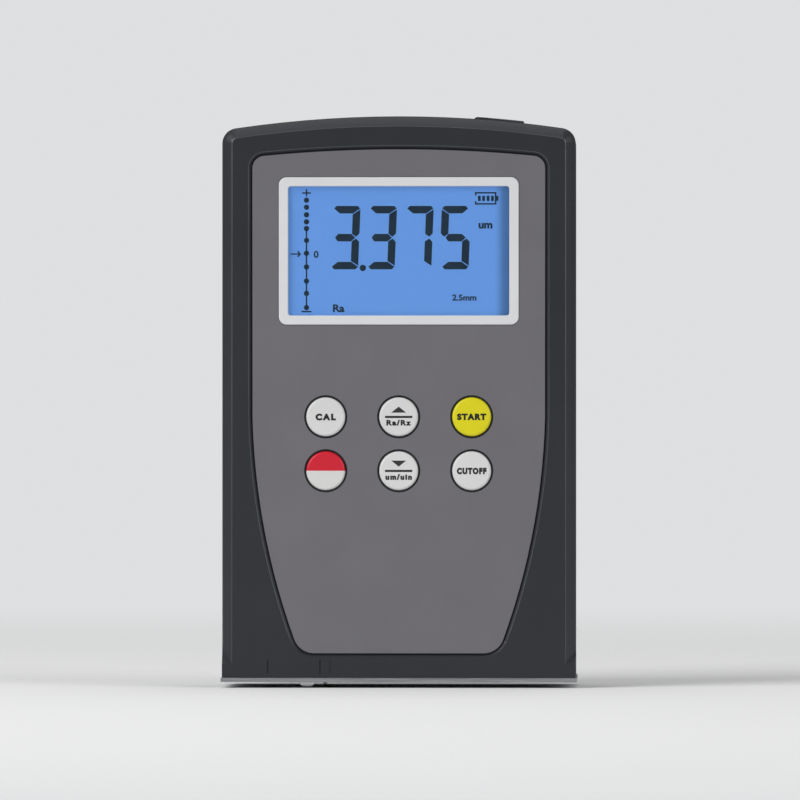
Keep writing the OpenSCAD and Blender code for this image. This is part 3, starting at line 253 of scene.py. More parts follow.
def cell_wrap(name):
    """Dry cell: a printed sleeve with a pale band round the middle, over a can that is bare at the ends."""
    material, tree, shader, place = start(name, IOR=1.5)
    sleeve = ramp(tree, along(tree, place, "Z", SLEEVE_FOOT, SLEEVE_HEAD),
                  [(0.0, "#27323e"), (0.38, "#b9bcc0"), (0.62, "#27323e")], crisp=True)
    normal = add(tree, "ShaderNodeTexCoord").outputs["Normal"]
    facing = add(tree, "ShaderNodeSeparateXYZ", {"Vector": normal}).outputs["Z"]
    upright = add(tree, "ShaderNodeMath", {0: facing}, operation="ABSOLUTE").outputs["Value"]
    steel = add(tree, "ShaderNodeMath", {0: upright, 1: 0.5}, operation="GREATER_THAN").outputs["Value"]
    scuff = noise(tree, place, size_mm=2, detail=4.0)
    wire(tree, shader, Base_Color=sleeve, Metallic=steel, Roughness=spread(tree, scuff, 0.25, 0.42))
    return material


def clear_acrylic(name):
    """Cast acrylic window: clear and polished, coated so that it mirrors the room less than bare acrylic."""
    return start(name, Base_Color=linear("#fbfdff"), Roughness=0.02, IOR=1.35, Transmission_Weight=1.0)[0]


def polished_diamond(name):
    """Ground and polished diamond."""
    return start(name, Base_Color=linear("#f4f0e2"), Roughness=0.03, IOR=2.42, Transmission_Weight=1.0)[0]


# How the lines of a metal run: along an axis, round it, wound round it, or no way in particular
ALONG_X = (0.02, 1.0, 1.0)
ALONG_Z = (1.0, 1.0, 0.02)
ROUND_X = (1.0, 0.05, 0.05)
WOUND_X = (1.0, 0.03, 0.03)
EVEN = (1.0, 1.0, 1.0)
finish = {
    # Plastics: darker and lighter tone, roughness, grain and relief in mm, and the index of refraction where
    # it isn't that of ABS. The dark case has a fine grain, drawn at half a millimetre so that it shows
    "case_abs": moulded_plastic("abs_dark_moulded", "#1d1f25", "#202229", 0.44, 0.5, 0.012),
    "cover_rubber": moulded_plastic("abs_dark_cover", "#2b2d33", "#2f3137", 0.4, 0.5, 0.01),
    "panel_film": moulded_plastic("polycarbonate_film_grey", "#666469", "#69676c", 0.62, 0.35, 0.006, 1.58),
    "bezel_abs": moulded_plastic("abs_white_satin", "#dadbdd", "#dedfe1", 0.38, 0.6, 0.006),
    "key_white": moulded_plastic("abs_white_key", "#d6d6d6", "#dadad9", 0.4, 0.5, 0.006),
    "key_yellow": moulded_plastic("abs_yellow_key", "#dcd200", "#dfd602", 0.4, 0.5, 0.006),
    "key_red": two_tone_cap("abs_red_white_key", "#cf0f2a", "#d8d8d6", KEYS["power"][1]),
    "plunger_nylon": moulded_plastic("nylon_natural", "#c9c4b4", "#d2cdbe", 0.5, 0.4, 0.01),
    "light_guide": moulded_plastic("acrylic_light_guide", "#dfe9f4", "#e8f0f8", 0.2, 1.5, 0.004, 1.49),
    "elastomer": moulded_plastic("silicone_black_strip", "#262627", "#2c2c2d", 0.6, 0.3, 0.01, 1.43),
    "chip_epoxy": moulded_plastic("epoxy_black_moulded", "#1f2022", "#262729", 0.55, 0.3, 0.012),
    "socket_nylon": moulded_plastic("nylon_black", "#17181a", "#1d1e20", 0.5, 0.4, 0.01),
    "lead_sheath": moulded_plastic("pvc_red_sheath", "#8f2620", "#a02c25", 0.42, 0.6, 0.008),
    "carriage_acetal": moulded_plastic("acetal_natural_machined", "#cfcab8", "#d8d3c3", 0.42, 0.4, 0.008,
                                       1.48),
    # Metals: darker and lighter tone, roughness, width of a line in mm, and the way that the lines run
    "base_steel": ground_metal("steel_ground_base", "#96989b", "#b6b8ba", 0.36, 0.25, ALONG_X),
    "screw_steel": ground_metal("steel_zinc_plated", "#8f9296", "#b2b4b6", 0.3, 0.2, EVEN),
    "rod_steel": ground_metal("steel_ground_rod", "#b4b6b8", "#cfd0d1", 0.2, 0.15, ROUND_X),
    "probe_steel": ground_metal("steel_turned", "#a4a6a9", "#c0c2c4", 0.26, 0.2, ROUND_X),
    "skid_steel": ground_metal("steel_polished_hard", "#c3c5c7", "#d8d9da", 0.14, 0.4, EVEN,
                               relief_mm=0.001),
    "motor_steel": ground_metal("steel_drawn_can", "#9c9fa2", "#b3b5b7", 0.32, 0.3, ALONG_X),
    "contact_nickel": ground_metal("steel_nickel_plated", "#b5b1a4", "#cbc7ba", 0.26, 0.3, ALONG_X),
    "frame_aluminium": ground_metal("aluminium_clear_anodised", "#a9abae", "#bcbec0", 0.4, 0.2, ALONG_Z),
    "bush_bronze": ground_metal("bronze_turned", "#9a7638", "#b48e4a", 0.3, 0.2, ROUND_X),
    "coil_copper": ground_metal("copper_enamelled_winding", "#7c3d1c", "#b0632f", 0.35, 0.15, WOUND_X),
    # Finishes with a function of their own
    "lens_acrylic": clear_acrylic("acrylic_clear_polished"),
    "lcd_glass": backlit_display("liquid_crystal_backlit"),
    "board_laminate": solder_mask("glass_laminate_green"),
    "cell_wrap": cell_wrap("cell_printed_sleeve"),
    "diamond": polished_diamond("diamond_polished"),
}
# Edges of the dark case: a lighter tone painted on as the highlight that the rounded creases catch, over a
# smoother, shinier grain
painted_highlight_edge = moulded_plastic("abs_dark_rubbed_edge", "#55575d", "#5c5e64", 0.24, 0.8, 0.003)
key_ink = printed_ink("ink_black_screen_print", "#0e0e10")
arrow_ink = printed_ink("ink_grey_screen_print", "#28292b")
segment_ink = dark_crystal("liquid_crystal_dark_segment")


# Pieces

# Angles between faces that count as flat, as sharp, and as smooth on a moulded or a turned piece
FLAT_ANGLE = math.radians(0.4)
SHARP_ANGLE = math.radians(28)
MOULDED_ANGLE = math.radians(40)
TURNED_ANGLE = math.radians(30)
# Distances in mm within which points are merged, and the thickness of printed ink in mm
FINE_MERGE = 0.002
ARC_MERGE = 0.06
PRINT_MERGE = 0.0005
INK_THICK = 0.02


def work_on(piece):
    """Makes one object the only selected one and the active one."""
    bpy.ops.object.select_all(action="DESELECT")
    piece.select_set(True)
    bpy.context.view_layer.objects.active = piece


def open_merged(piece, merge_mm):
    """Opens a piece in edit mode, with its points selected and those that lie together merged."""
    work_on(piece)
    bpy.ops.object.mode_set(mode="EDIT")
    bpy.ops.mesh.select_all(action="SELECT")
    bpy.ops.mesh.remove_doubles(threshold=merge_mm * MM)


def copied(node, name):
    """A new piece with a copy of a node's mesh, without the shading that came with it."""
    piece = bpy.data.objects.new(name, nodes[node].data.copy())
    bpy.context.scene.collection.objects.link(piece)
    work_on(piece)
    bpy.ops.mesh.customdata_custom_splitnormals_clear()
    return piece


def polygon(name, corners, fill):
    """A closed polygon through places in mm, filled or empty, left open in edit mode."""
    bpy.ops.object.select_all(action="DESELECT")
    bpy.ops.mesh.primitive_circle_add(vertices=len(corners), radius=MM, fill_type=fill, enter_editmode=True)
    piece = bpy.context.object
    piece.name = name
    shape = bmesh.from_edit_mesh(piece.data)
    shape.verts.ensure_lookup_table()
    for vert, corner in zip(shape.verts, corners):
        vert.co = Vector(corner) * MM
    bmesh.update_edit_mesh(piece.data)
    return piece


def dress(piece, material, body):
    """Gives a finished piece its material and its body."""
    piece.data.materials.clear()
    piece.data.materials.append(material)
    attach(piece, body)
    return piece


def apply_all(piece):
    """Applies a piece's modifiers from the top."""
    work_on(piece)
    for modifier in list(piece.modifiers):
        bpy.ops.object.modifier_apply(modifier=modifier.name)


def softened(name, width_mm, edge_finish=None, share=lambda x, y, z: 1.0, merge_mm=FINE_MERGE):
    """A merged copy of a node with rounded edges, as a mould or a tumbled blank leaves them.

    The edges have the node's own finish or another. The share of the width that a sharp edge gets goes
    by where its two ends lie, in mm.
    """
    piece = copied(name, name + "_edged")
    dress(piece, finish[slot_of[name]], body_of[name])
    piece.data.materials.append(edge_finish or finish[slot_of[name]])
    open_merged(piece, merge_mm)
    bpy.ops.mesh.dissolve_limited(angle_limit=FLAT_ANGLE)
    shape = bmesh.from_edit_mesh(piece.data)
    weight = shape.edges.layers.float.new("bevel_weight_edge")
    for edge in shape.edges:
        sharp = len(edge.link_faces) == 2 and edge.calc_face_angle() > SHARP_ANGLE
        edge[weight] = min(share(*(vert.co / MM)) for vert in edge.verts) if sharp else 0.0
    bmesh.update_edit_mesh(piece.data)
    bpy.ops.object.mode_set(mode="OBJECT")
    bevel = piece.modifiers.new("edge", "BEVEL")
    bevel.width = width_mm * MM
    bevel.segments = 3
    bevel.limit_method = "WEIGHT"
    bevel.use_clamp_overlap = True
    bevel.material = 1
    apply_all(piece)
    bpy.ops.object.shade_smooth_by_angle(angle=MOULDED_ANGLE)
    flats = piece.modifiers.new("flats", "WEIGHTED_NORMAL")
    flats.weight = 100
    flats.keep_sharp = True
    apply_all(piece)
    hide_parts(name)
    return piece


def thickened(piece, thick_mm):
    """Gives a flat print its thickness, out from the face that it lies on."""
    open_merged(piece, PRINT_MERGE)
    bpy.ops.object.mode_set(mode="OBJECT")
    facing = sum(p.normal.y * p.area for p in piece.data.polygons)
    wall = piece.modifiers.new("film", "SOLIDIFY")
    wall.thickness = thick_mm * MM
    wall.offset = 1.0 if facing < 0 else -1.0
    apply_all(piece)
    bpy.ops.object.mode_set(mode="EDIT")
    bpy.ops.mesh.select_all(action="SELECT")
    bpy.ops.mesh.normals_make_consistent(inside=False)
    bpy.ops.object.mode_set(mode="OBJECT")


def outline_plate(name, points, y_mm):
    """A flat plate with an outline of (x, z) points in mm, facing the front."""
    piece = polygon(name, [(x, y_mm, z) for x, z in points], "NGON")
    bpy.ops.mesh.normals_make_consistent(inside=False)
    bpy.ops.object.mode_set(mode="OBJECT")
    return piece


def disc(x, z, r, count=28):
    """The outline of a dot."""
    angles = [2 * math.pi * i / count for i in range(count)]
    return [(x + r * math.cos(angle), z + r * math.sin(angle)) for angle in angles]


def bar(x0, z0, x1, z1):
    """The outline of a straight bar between its lower left and its upper right corner."""
    return [(x0, z0), (x1, z0), (x1, z1), (x0, z1)]


def print_group(name, outlines, y_mm, thick_mm, ink, body):
    """Several flat outlines, printed as one piece."""
    plates = [outline_plate(f"{name}_{i}", points, y_mm) for i, points in enumerate(outlines)]
    work_on(plates[0])
    for plate in plates[1:]:
        plate.select_set(True)
    if len(plates) > 1:
        bpy.ops.object.join()
    piece = plates[0]
    piece.name = name
    thickened(piece, thick_mm)
    return dress(piece, ink, body)


# Letters: distances as shares of the type's size, the limit that keeps a sharp corner from being drawn out
# far, the steps of a curve, and the kind of filling, which is triangles over all that lies between the rims
LETTER_MERGE = 0.0003
RIM_MEET = LETTER_MERGE / 10
MITRE_LIMIT = 0.4
CURVE_STEPS = 6
ALL_TRIANGLES = 0


def rims_of(piece):
    """The closed rims of flat letters: points in order, with the letter on the left."""
    shape = bmesh.new()
    shape.from_mesh(piece.data)
    bmesh.ops.remove_doubles(shape, verts=shape.verts, dist=LETTER_MERGE)
    for face in shape.faces:
        if face.normal.z < 0:
            face.normal_flip()
    after = {}
    for edge in shape.edges:
        if len(edge.link_loops) == 1:
            corner = edge.link_loops[0]
            after[corner.vert] = corner.link_loop_next.vert
    rims = []
    while after:
        rim = [next(iter(after))]
        while after[rim[-1]] != rim[0]:
            rim.append(after[rim[-1]])
        for vert in rim:
            del after[vert]
        rims.append([vert.co.to_2d() for vert in rim])
    shape.free()
    return rims


def grown(rim, distance):
    """A rim moved away from its letter by a distance, with mitred corners."""
    points = []
    for before, here, beyond in zip(rim[-1:] + rim[:-1], rim, rim[1:] + rim[:1]):
        first, second = [Vector((run.y, -run.x)).normalized() for run in (here - before, beyond - here)]
        points.append(here + (first + second) / max(1 + first.dot(second), MITRE_LIMIT) * distance)
    return points


def turns_round(point, rims):
    """How many times the closed rims run round a point."""
    turns = 0
    for rim in rims:
        for a, b in zip(rim, rim[1:] + rim[:1]):
            left = (b - a).cross(point - a)
            if a.y <= point.y < b.y and left > 0:
                turns += 1
            elif b.y <= point.y < a.y and left < 0:
                turns -= 1
    return turns


def embolden(piece, distance):
    """Moves the rims of flat letters outwards, and fills what they run round as one clean area."""
    rims = [grown(rim, distance) for rim in rims_of(piece)]
    corners = [point for rim in rims for point in rim]
    edges = []
    for rim in rims:
        first = len(edges)
        edges += [(first + i, first + (i + 1) % len(rim)) for i in range(len(rim))]
    places, _, triangles = delaunay_2d_cdt(corners, edges, [], ALL_TRIANGLES, RIM_MEET)[:3]
    shape = bmesh.new()
    verts = [shape.verts.new(place.to_3d()) for place in places]
    for triangle in triangles:
        centre = sum((places[i] for i in triangle), Vector((0, 0))) / 3
        if turns_round(centre, rims) > 0:
            shape.faces.new([verts[i] for i in triangle])
    bmesh.ops.delete(shape, geom=[v for v in verts if not v.link_faces], context="VERTS")
    shape.to_mesh(piece.data)
    shape.free()


def lettering(name, words, centre, width_mm, height_mm, y_mm, ink, body, weight, spacing=1.0):
    """Printed words of a given width and letter height in mm, facing the front."""
    bpy.ops.object.select_all(action="DESELECT")
    bpy.ops.object.text_add(location=(0, 0, 0))
    piece = bpy.context.object
    piece.name = name
    piece.data.body = words
    piece.data.space_character = spacing
    piece.data.resolution_u = CURVE_STEPS
    bpy.ops.object.convert(target="MESH")
    embolden(piece, weight)
    low = Vector([min(v.co[i] for v in piece.data.vertices) for i in range(3)])
    high = Vector([max(v.co[i] for v in piece.data.vertices) for i in range(3)])
    size = high - low
    across = width_mm * MM / size.x
    upwards = height_mm * MM / size.y
    piece.scale = (across, upwards, 1.0)
    bpy.ops.object.transform_apply(location=False, rotation=False, scale=True)
    piece.rotation_euler = (math.radians(90), 0, 0)
    piece.location = (centre[0] * MM - (low.x + size.x / 2) * across, y_mm * MM,
                      centre[1] * MM - (low.y + size.y / 2) * upwards)
    bpy.ops.object.transform_apply(location=True, rotation=True, scale=True)
    thickened(piece, INK_THICK)
    return dress(piece, ink, body)


# Places in mm that tell which edges of a piece are rounded
ON_FACE = 0.1
FOOT_TOP = 9.0
FOOT_HALF = 37.0
SIDE_CREASE_IN = 36.5
SIDE_CREASE_OUT = 38.0
COVER_HINGE_X = 18.6
PLATE_RIM_X = 39.0
PLATE_RIM_Y = 14.5
KEY_FIELD_FOOT = 40.0
KEY_FIELD_HEAD = 68.0
KEY_FIELD_HALF = 24.0


def front_edges(x, y, z):
    """Full width along the side creases, half of it at the top and round the panel, none at the foot."""
    if y > CASE_FRONT + ON_FACE or abs(x) > SIDE_CREASE_OUT or (z < FOOT_TOP and abs(x) < FOOT_HALF):
        return 0.0
    return 1.0 if abs(x) > SIDE_CREASE_IN else 0.5


def rear_edges(x, y, z):
    """The edges of the back above the foot."""
    return float(y > CASE_BACK - ON_FACE and z > FOOT_TOP)


def cover_edges(x, y, z):
    """The edges of the port cover beside its hinge."""
    return float(x > COVER_HINGE_X)


def plate_edges(x, y, z):
    """The rim of the base plate, and not its holes and its slot."""
    return float(abs(x) > PLATE_RIM_X or abs(y) > PLATE_RIM_Y)


def key_hole_edges(x, y, z):
    """The edges of the panel's holes for the keys."""
    return float(KEY_FIELD_FOOT < z < KEY_FIELD_HEAD and abs(x) < KEY_FIELD_HALF)


# Shells, panel, frame and keys with rounded edges of a width in mm. The panel's rounded edges round the key
# holes are painted in the dark case plastic, as painted shade of the gap round each key
# The shells, the door and the cover carry the painted highlight on their rounded edges
softened("front_shell", 0.1, painted_highlight_edge, front_edges, ARC_MERGE)
softened("rear_shell", 0.2, painted_highlight_edge, rear_edges, ARC_MERGE)
softened("battery_door", 0.25, painted_highlight_edge)
softened("port_cover", 0.2, painted_highlight_edge, cover_edges, ARC_MERGE)
softened("base_plate", 0.15, None, plate_edges)
softened("front_panel", 0.1, finish["case_abs"], key_hole_edges)
softened("display_bezel", 0.22)
for key in KEYS:
    softened(f"key_{key}", 0.16)

# Pieces behind the door, under the foot and inside the case, by the width of their edges in mm
INNER_EDGES = {
    0.3: ("battery_cell_1", "battery_cell_2", "battery_cell_3", "battery_cell_4"),
    0.06: ("case_screws", "door_screws", "base_screws", "drive_screws", "board_screws", "skid",
           "probe_tube"),
    0.12: ("data_socket", "carriage", "drive_frame", "drive_gearbox", "drive_motor", "board_components",
           "key_switches", "limit_switches"),
}
for width, names in INNER_EDGES.items():
    for name in names:
        softened(name, width)

# Leaf spring over the probe, whose free end the probe presses up towards the bridge that holds it as it
# lifts. Here it only gets rounded edges and a mesh of its own
spring = softened("pickup_spring", 0.05)
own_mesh(spring)

# Lead screw: a plain shaft, and one ridge wound round most of its length as the thread, with the lead that
# the coupling of its turn to the carriage gives
SCREW_Y, SCREW_Z = middle("lead_screw")[1:]
LEAD = round(2 * math.pi / behaviour["couplings"][0]["ratio"] / MM, 3)
CORE_R = 1.25
CREST_R = 1.72
ROOT_SINK = 0.05
ROOT_R = CORE_R - ROOT_SINK
FLANK = 0.35
CREST = 0.4
THREAD_TO = 8.9
TURNS = 16
shaft = copied("lead_screw", "lead_screw_shaft")
open_merged(shaft, FINE_MERGE)
shape = bmesh.from_edit_mesh(shaft.data)
for vert in shape.verts:
    arm = Vector((0, vert.co.y - SCREW_Y * MM, vert.co.z - SCREW_Z * MM))
    if arm.length > CORE_R * MM:
        vert.co -= arm * (1 - CORE_R * MM / arm.length)
bmesh.update_edit_mesh(shaft.data)
bpy.ops.object.mode_set(mode="OBJECT")
ridge = [(0, ROOT_R), (FLANK, CREST_R), (FLANK + CREST, CREST_R), (2 * FLANK + CREST, ROOT_R)]
thread = polygon("lead_screw_thread", [(THREAD_TO - back, 0, r) for back, r in ridge], "NOTHING")
bpy.ops.object.mode_set(mode="OBJECT")
winding = thread.modifiers.new("winding", "SCREW")
winding.axis = "X"
winding.screw_offset = -LEAD * MM
winding.iterations = TURNS
winding.steps = 24
apply_all(thread)
open_merged(thread, FINE_MERGE)
bpy.ops.mesh.fill_holes(sides=0)
bpy.ops.mesh.normals_make_consistent(inside=False)
bpy.ops.transform.translate(value=(0, SCREW_Y * MM, SCREW_Z * MM))
bpy.ops.object.mode_set(mode="OBJECT")
for piece in (shaft, thread):
    work_on(piece)
    bpy.ops.object.shade_smooth_by_angle(angle=TURNED_ANGLE)
    dress(piece, finish["rod_steel"], "screw")
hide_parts("lead_screw")

# Clear window with polished edges, a touch thinner than its seat so that it stays clear of the display
LENS_GAP = 0.1
LENS_BACK = LCD_FRONT - LENS_GAP
LENS_EDGE = 0.1
low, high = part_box("display_lens")
place = ((low.x + high.x) / 2, (LENS_FRONT + LENS_BACK) / 2 * MM, (low.z + high.z) / 2)
bpy.ops.object.select_all(action="DESELECT")
bpy.ops.mesh.primitive_cube_add(size=1.0, location=place)
window = bpy.context.object
window.name = "display_window"
window.scale = (high.x - low.x, (LENS_BACK - LENS_FRONT) * MM, high.z - low.z)
bpy.ops.object.transform_apply(location=True, rotation=True, scale=True)
bevel = window.modifiers.new("edge", "BEVEL")
bevel.width = LENS_EDGE * MM
bevel.segments = 2
apply_all(window)
dress(window, finish["lens_acrylic"], "case")
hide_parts("display_lens")

# Display: the figures, built of mitred segments that lean a little to the right.
# The points of a segment are in mm from the lower left corner of its figure
SEGMENT_LIFT = 0.02
SEGMENT_Y = LCD_FRONT - SEGMENT_LIFT
SEGMENT_THICK = 0.03
DIGIT_W = 6.6
DIGIT_H = 14.35
STROKE = 1.7
GAP = 0.2
CUT = 0.6
LEAN = 0.04
half = DIGIT_H / 2
upper = [(DIGIT_W, DIGIT_H - CUT - GAP), (DIGIT_W, half + 0.95), (DIGIT_W - 0.75, half + GAP),
         (DIGIT_W - STROKE, half + 0.85), (DIGIT_W - STROKE, DIGIT_H - STROKE - GAP)]
# A bar across runs to the corner where it meets an upright, and to a blunt tip where it stands free
top = [(1.18, DIGIT_H), (DIGIT_W - 0.62, DIGIT_H), (DIGIT_W - 0.08, DIGIT_H - CUT),
       (DIGIT_W - STROKE + 0.05, DIGIT_H - STROKE), (1.95, DIGIT_H - STROKE), (0.64, DIGIT_H - CUT)]
SEGMENTS = {
    "a": top,
    "A": [(DIGIT_W - x, z) for x, z in top],
    "b": upper,
    "c": [(x, DIGIT_H - z) for x, z in upper],
    "d": [(x, DIGIT_H - z) for x, z in top],
    "f": [(DIGIT_W - x, z) for x, z in upper],
    "g": [(1.1, half), (1.75, half + STROKE / 2), (DIGIT_W - 1.85, half + STROKE / 2), (DIGIT_W - 0.9, half),
          (DIGIT_W - 1.85, half - STROKE / 2), (1.75, half - STROKE / 2)],
}
# The left of each figure and the segments that are dark in it, then the decimal point
FIGURES = {-15.83: "abgcd", -7.56: "abgcd", 0.73: "abc", 9.17: "Afgcd"}
FIGURE_Z = 93.35
POINT_X, POINT_Z, POINT_R = -8.15, 93.67, 0.72
digits = []
for left, used in FIGURES.items():
    for segment in used:
        digits.append([(left + x + LEAN * z, FIGURE_Z + z) for x, z in SEGMENTS[segment]])
digits.append(disc(POINT_X, POINT_Z, POINT_R))
print_group("display_figures", digits, SEGMENT_Y, SEGMENT_THICK, segment_ink, "case")

# Display: the range scale at the left with its plus and its minus, and its pointer
SCALE_X = -20.9
DOT_R = 0.6
DOTS = (109, 107.4, 105.7, 104.1, 102.6, 99.9, 97, 93.9, 90.7, 87.9, 84.7)
LINE = 0.32
LINE_FOOT, LINE_HEAD = DOTS[-1], DOTS[4]
PLUS_Z, PLUS_HALF, PLUS_FOOT, PLUS_HEAD = 110.47, 0.98, 109.85, 111.5
MINUS_Z, MINUS_HALF = 83.65, 1.12
POINTER_TAIL, POINTER_NECK, POINTER_TIP = -24.5, -22.4, -22.15
POINTER_Z, POINTER_HALF = 96.82, 0.14
scale = [disc(SCALE_X, z, DOT_R) for z in DOTS]
scale += [bar(SCALE_X - LINE / 2, LINE_FOOT, SCALE_X + LINE / 2, LINE_HEAD),
          bar(SCALE_X - PLUS_HALF, PLUS_Z, SCALE_X + PLUS_HALF, PLUS_Z + LINE),
          bar(SCALE_X - LINE / 2, PLUS_FOOT, SCALE_X + LINE / 2, PLUS_HEAD),
          bar(SCALE_X - MINUS_HALF, MINUS_Z, SCALE_X + MINUS_HALF, MINUS_Z + LINE),
          bar(POINTER_TAIL, POINTER_Z - POINTER_HALF, POINTER_NECK, POINTER_Z + POINTER_HALF)]
barb = [(POINTER_TIP, 0), (POINTER_TIP - 0.6, 0.73), (POINTER_TIP - 0.87, 0.54), (POINTER_TIP - 0.4, 0),
        (POINTER_TIP - 0.87, -0.54), (POINTER_TIP - 0.6, -0.73)]
scale.append([(x, POINTER_Z + rise) for x, rise in barb])
print_group("display_scale", scale, SEGMENT_Y, SEGMENT_THICK, segment_ink, "case")

# Display: the cell gauge, an outline that is open at the left, with its nub and its four full bars
GAUGE_LEFT, GAUGE_RIGHT = 17.2, 22.05
GAUGE_FOOT, GAUGE_HEAD = 107.98, 110.82
GAUGE_Z = (GAUGE_FOOT + GAUGE_HEAD) / 2
WALL = 0.34
END_LAP, CORNER_LAP, NUB_LAP = 0.12, 0.22, 0.05
END_PROUD = 0.01
CORNER = 0.77
NUB, NUB_HALF = 0.45, 0.55
CHARGE_W, CHARGE_HALF = 0.62, 0.6
CHARGES = (17.9, 18.87, 19.87, 20.86)
gauge_end = GAUGE_RIGHT + END_PROUD
gauge = [bar(GAUGE_LEFT, GAUGE_HEAD - WALL, GAUGE_RIGHT, GAUGE_HEAD),
         bar(GAUGE_LEFT, GAUGE_FOOT, GAUGE_RIGHT, GAUGE_FOOT + WALL),
         bar(gauge_end - WALL, GAUGE_FOOT + END_LAP, gauge_end, GAUGE_HEAD - END_LAP),
         bar(GAUGE_LEFT, GAUGE_HEAD - CORNER, GAUGE_LEFT + WALL, GAUGE_HEAD - CORNER_LAP),
         bar(GAUGE_LEFT, GAUGE_FOOT + CORNER_LAP, GAUGE_LEFT + WALL, GAUGE_FOOT + CORNER),
         bar(GAUGE_RIGHT - NUB_LAP, GAUGE_Z - NUB_HALF, GAUGE_RIGHT + NUB, GAUGE_Z + NUB_HALF)]
gauge += [bar(x, GAUGE_Z - CHARGE_HALF, x + CHARGE_W, GAUGE_Z + CHARGE_HALF) for x in CHARGES]
print_group("display_gauge", gauge, SEGMENT_Y, SEGMENT_THICK, segment_ink, "case")

# Display: its words, with their middle as x and z, width, height and weight
for name, words, centre, width, height, weight in (
        ("zero", "0", (-18.72, 96.75), 1.1, 1.62, 0.03),
        ("unit", "um", (19.6, 103.2), 3.15, 1.3, 0.045),
        ("length", "2.5mm", (14.8, 86.97), 5.5, 1.42, 0.035),
        ("parameter", "Ra", (-13.6, 84.55), 2.6, 1.8, 0.035)):
    lettering("display_" + name, words, centre, width, height, SEGMENT_Y, segment_ink, "case", weight)

# Key legends: how far above the key's middle, width, height, weight and spacing
for key, words, rise, width, height, weight, spacing in (
        ("cal", "CAL", -0.05, 4.6, 1.55, 0.075, 1.4),
        ("up", "Ra/Rz", -1.33, 5.55, 1.3, 0.056, 1.25),
        ("start", "START", 0.0, 6.6, 1.5, 0.075, 1.25),
        ("down", "um/uin", -1.4, 6.0, 1.32, 0.068, 1.3),
        ("cutoff", "CUTOFF", -0.05, 6.7, 1.5, 0.08, 1.25)):
    x, z = KEYS[key]
    lettering(f"legend_{key}", words, (x, z + rise), width, height, KEY_FRONT, key_ink, f"{key}_key", weight,
              spacing)
ARROW_NEAR, ARROW_FAR, ARROW_HALF = 0.95, 2.3, 1.68
RULE_FOOT, RULE_HEAD, RULE_HALF = -0.27, 0.21, 3.08
for key, tip, foot in (("up", ARROW_FAR, ARROW_NEAR), ("down", ARROW_NEAR, ARROW_FAR)):
    x, z = KEYS[key]
    arrow = [(x, z + tip), (x + ARROW_HALF, z + foot), (x - ARROW_HALF, z + foot)]
    rule = bar(x - RULE_HALF, z + RULE_FOOT, x + RULE_HALF, z + RULE_HEAD)
    print_group(f"arrow_{key}", [arrow], KEY_FRONT, INK_THICK, arrow_ink, f"{key}_key")
    print_group(f"line_{key}", [rule], KEY_FRONT, INK_THICK, key_ink, f"{key}_key")

# The nodes that stay get the finish of their slot
for name, node in nodes.items():
    node.data.materials.clear()
    node.data.materials.append(finish[slot_of[name]])


# Studio, with lengths in m

FLOOR_R = 2.4
FADE_FROM = 0.08
FADE_TO = 0.8
ROOM_LIGHT = 0.25
SURROUND_LIGHT = 0.5
AZIMUTH = math.radians(1.4)
DISTANCE = 2.0
FRAME_WIDTH = 0.1808
SENSOR_MM = 36.0
VIEW_END = 50.0
# The place on the case's front that the camera and the lamps look at
target = Vector((0.3, CASE_FRONT, 63.8)) * MM


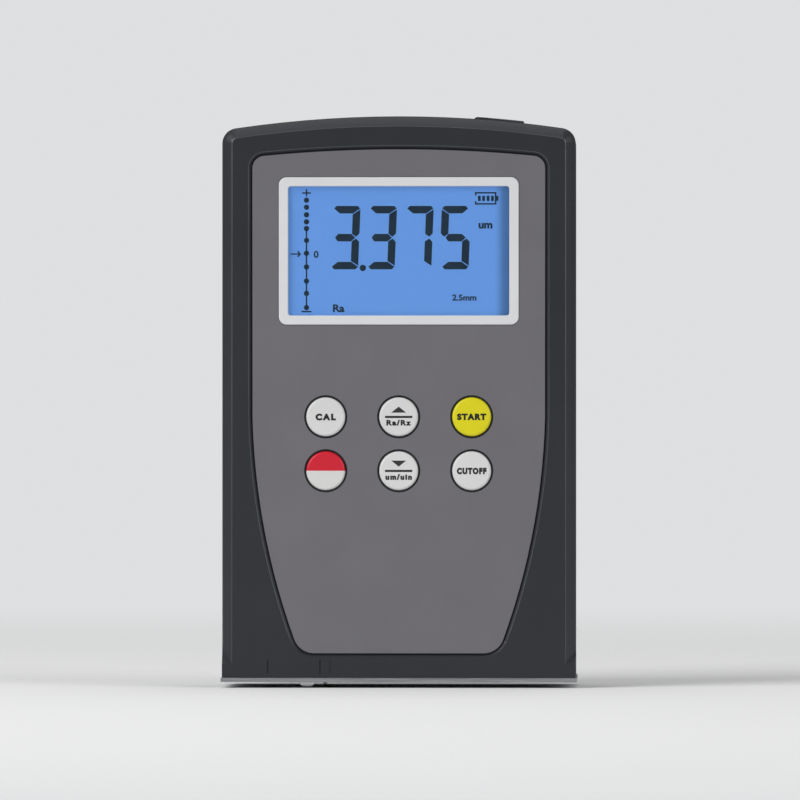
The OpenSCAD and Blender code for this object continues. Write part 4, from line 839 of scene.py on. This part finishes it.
def studio_paper(name):
    """Matt paper of the studio floor: it fades out far from the object, and it isn't seen from below."""
    material, tree, shader, place = start(name, Base_Color=linear("#fafafa"), Roughness=0.9)
    reach = add(tree, "ShaderNodeVectorMath", {0: place}, operation="LENGTH").outputs["Value"]
    fade = add(tree, "ShaderNodeMapRange", {"Value": reach, "From Min": FADE_FROM, "From Max": FADE_TO},
               interpolation_type="SMOOTHSTEP").outputs["Result"]
    below = add(tree, "ShaderNodeNewGeometry").outputs["Backfacing"]
    unseen = add(tree, "ShaderNodeMath", {0: fade, 1: below}, operation="MAXIMUM").outputs["Value"]
    clear = add(tree, "ShaderNodeBsdfTransparent").outputs["BSDF"]
    mix = add(tree, "ShaderNodeMixShader", {0: unseen, 1: shader.outputs["BSDF"], 2: clear})
    tree.links.new(mix.outputs["Shader"], tree.nodes["Material Output"].inputs["Surface"])
    return material


bpy.ops.object.select_all(action="DESELECT")
bpy.ops.mesh.primitive_circle_add(vertices=96, radius=FLOOR_R, fill_type="NGON", enter_editmode=True)
floor = bpy.context.object
floor.name = "studio_floor"
bpy.ops.transform.translate(value=(0, 0, FLOOR_Z * MM))
bpy.ops.object.mode_set(mode="OBJECT")
floor.data.materials.append(studio_paper("paper_matt"))

# Softboxes: place, width, and power in W
for name, place, size, watts in (
        ("key_softbox", (-1.0, -0.76, 0.78), 0.85, 14.3),
        ("fill_softbox", (1.45, -0.9, 0.7), 1.0, 10.5),
        ("top_softbox", (0.0, 0.35, 1.6), 1.2, 5.0)):
    bpy.ops.object.light_add(type="AREA", location=place)
    lamp = bpy.context.object
    lamp.name = name
    lamp.data.size = size
    lamp.data.energy = watts
    lamp.rotation_euler = (target - lamp.location).to_track_quat("-Z", "Y").to_euler()

# Soft light of the room, and the brighter surround that only the camera sees
world = bpy.data.worlds.new("studio_air")
world.use_nodes = True
surround = world.node_tree
background = surround.nodes["Background"]
background.inputs["Color"].default_value = linear("#fdfeff")
seen = add(surround, "ShaderNodeLightPath").outputs["Is Camera Ray"]
level = add(surround, "ShaderNodeMath", {0: seen, 1: SURROUND_LIGHT, 2: ROOM_LIGHT},
            operation="MULTIPLY_ADD")
surround.links.new(level.outputs["Value"], background.inputs["Strength"])
bpy.context.scene.world = world

# Camera: level with its target, far off with a long lens
eye = target + Vector((math.sin(AZIMUTH), -math.cos(AZIMUTH), 0)) * DISTANCE
bpy.ops.object.camera_add(location=eye, rotation=(target - eye).to_track_quat("-Z", "Y").to_euler())
camera = bpy.context.object
camera.data.sensor_width = SENSOR_MM
camera.data.lens = SENSOR_MM * DISTANCE / FRAME_WIDTH
camera.data.clip_end = VIEW_END
bpy.context.scene.camera = camera
bpy.context.scene.view_settings.view_transform = "Standard"
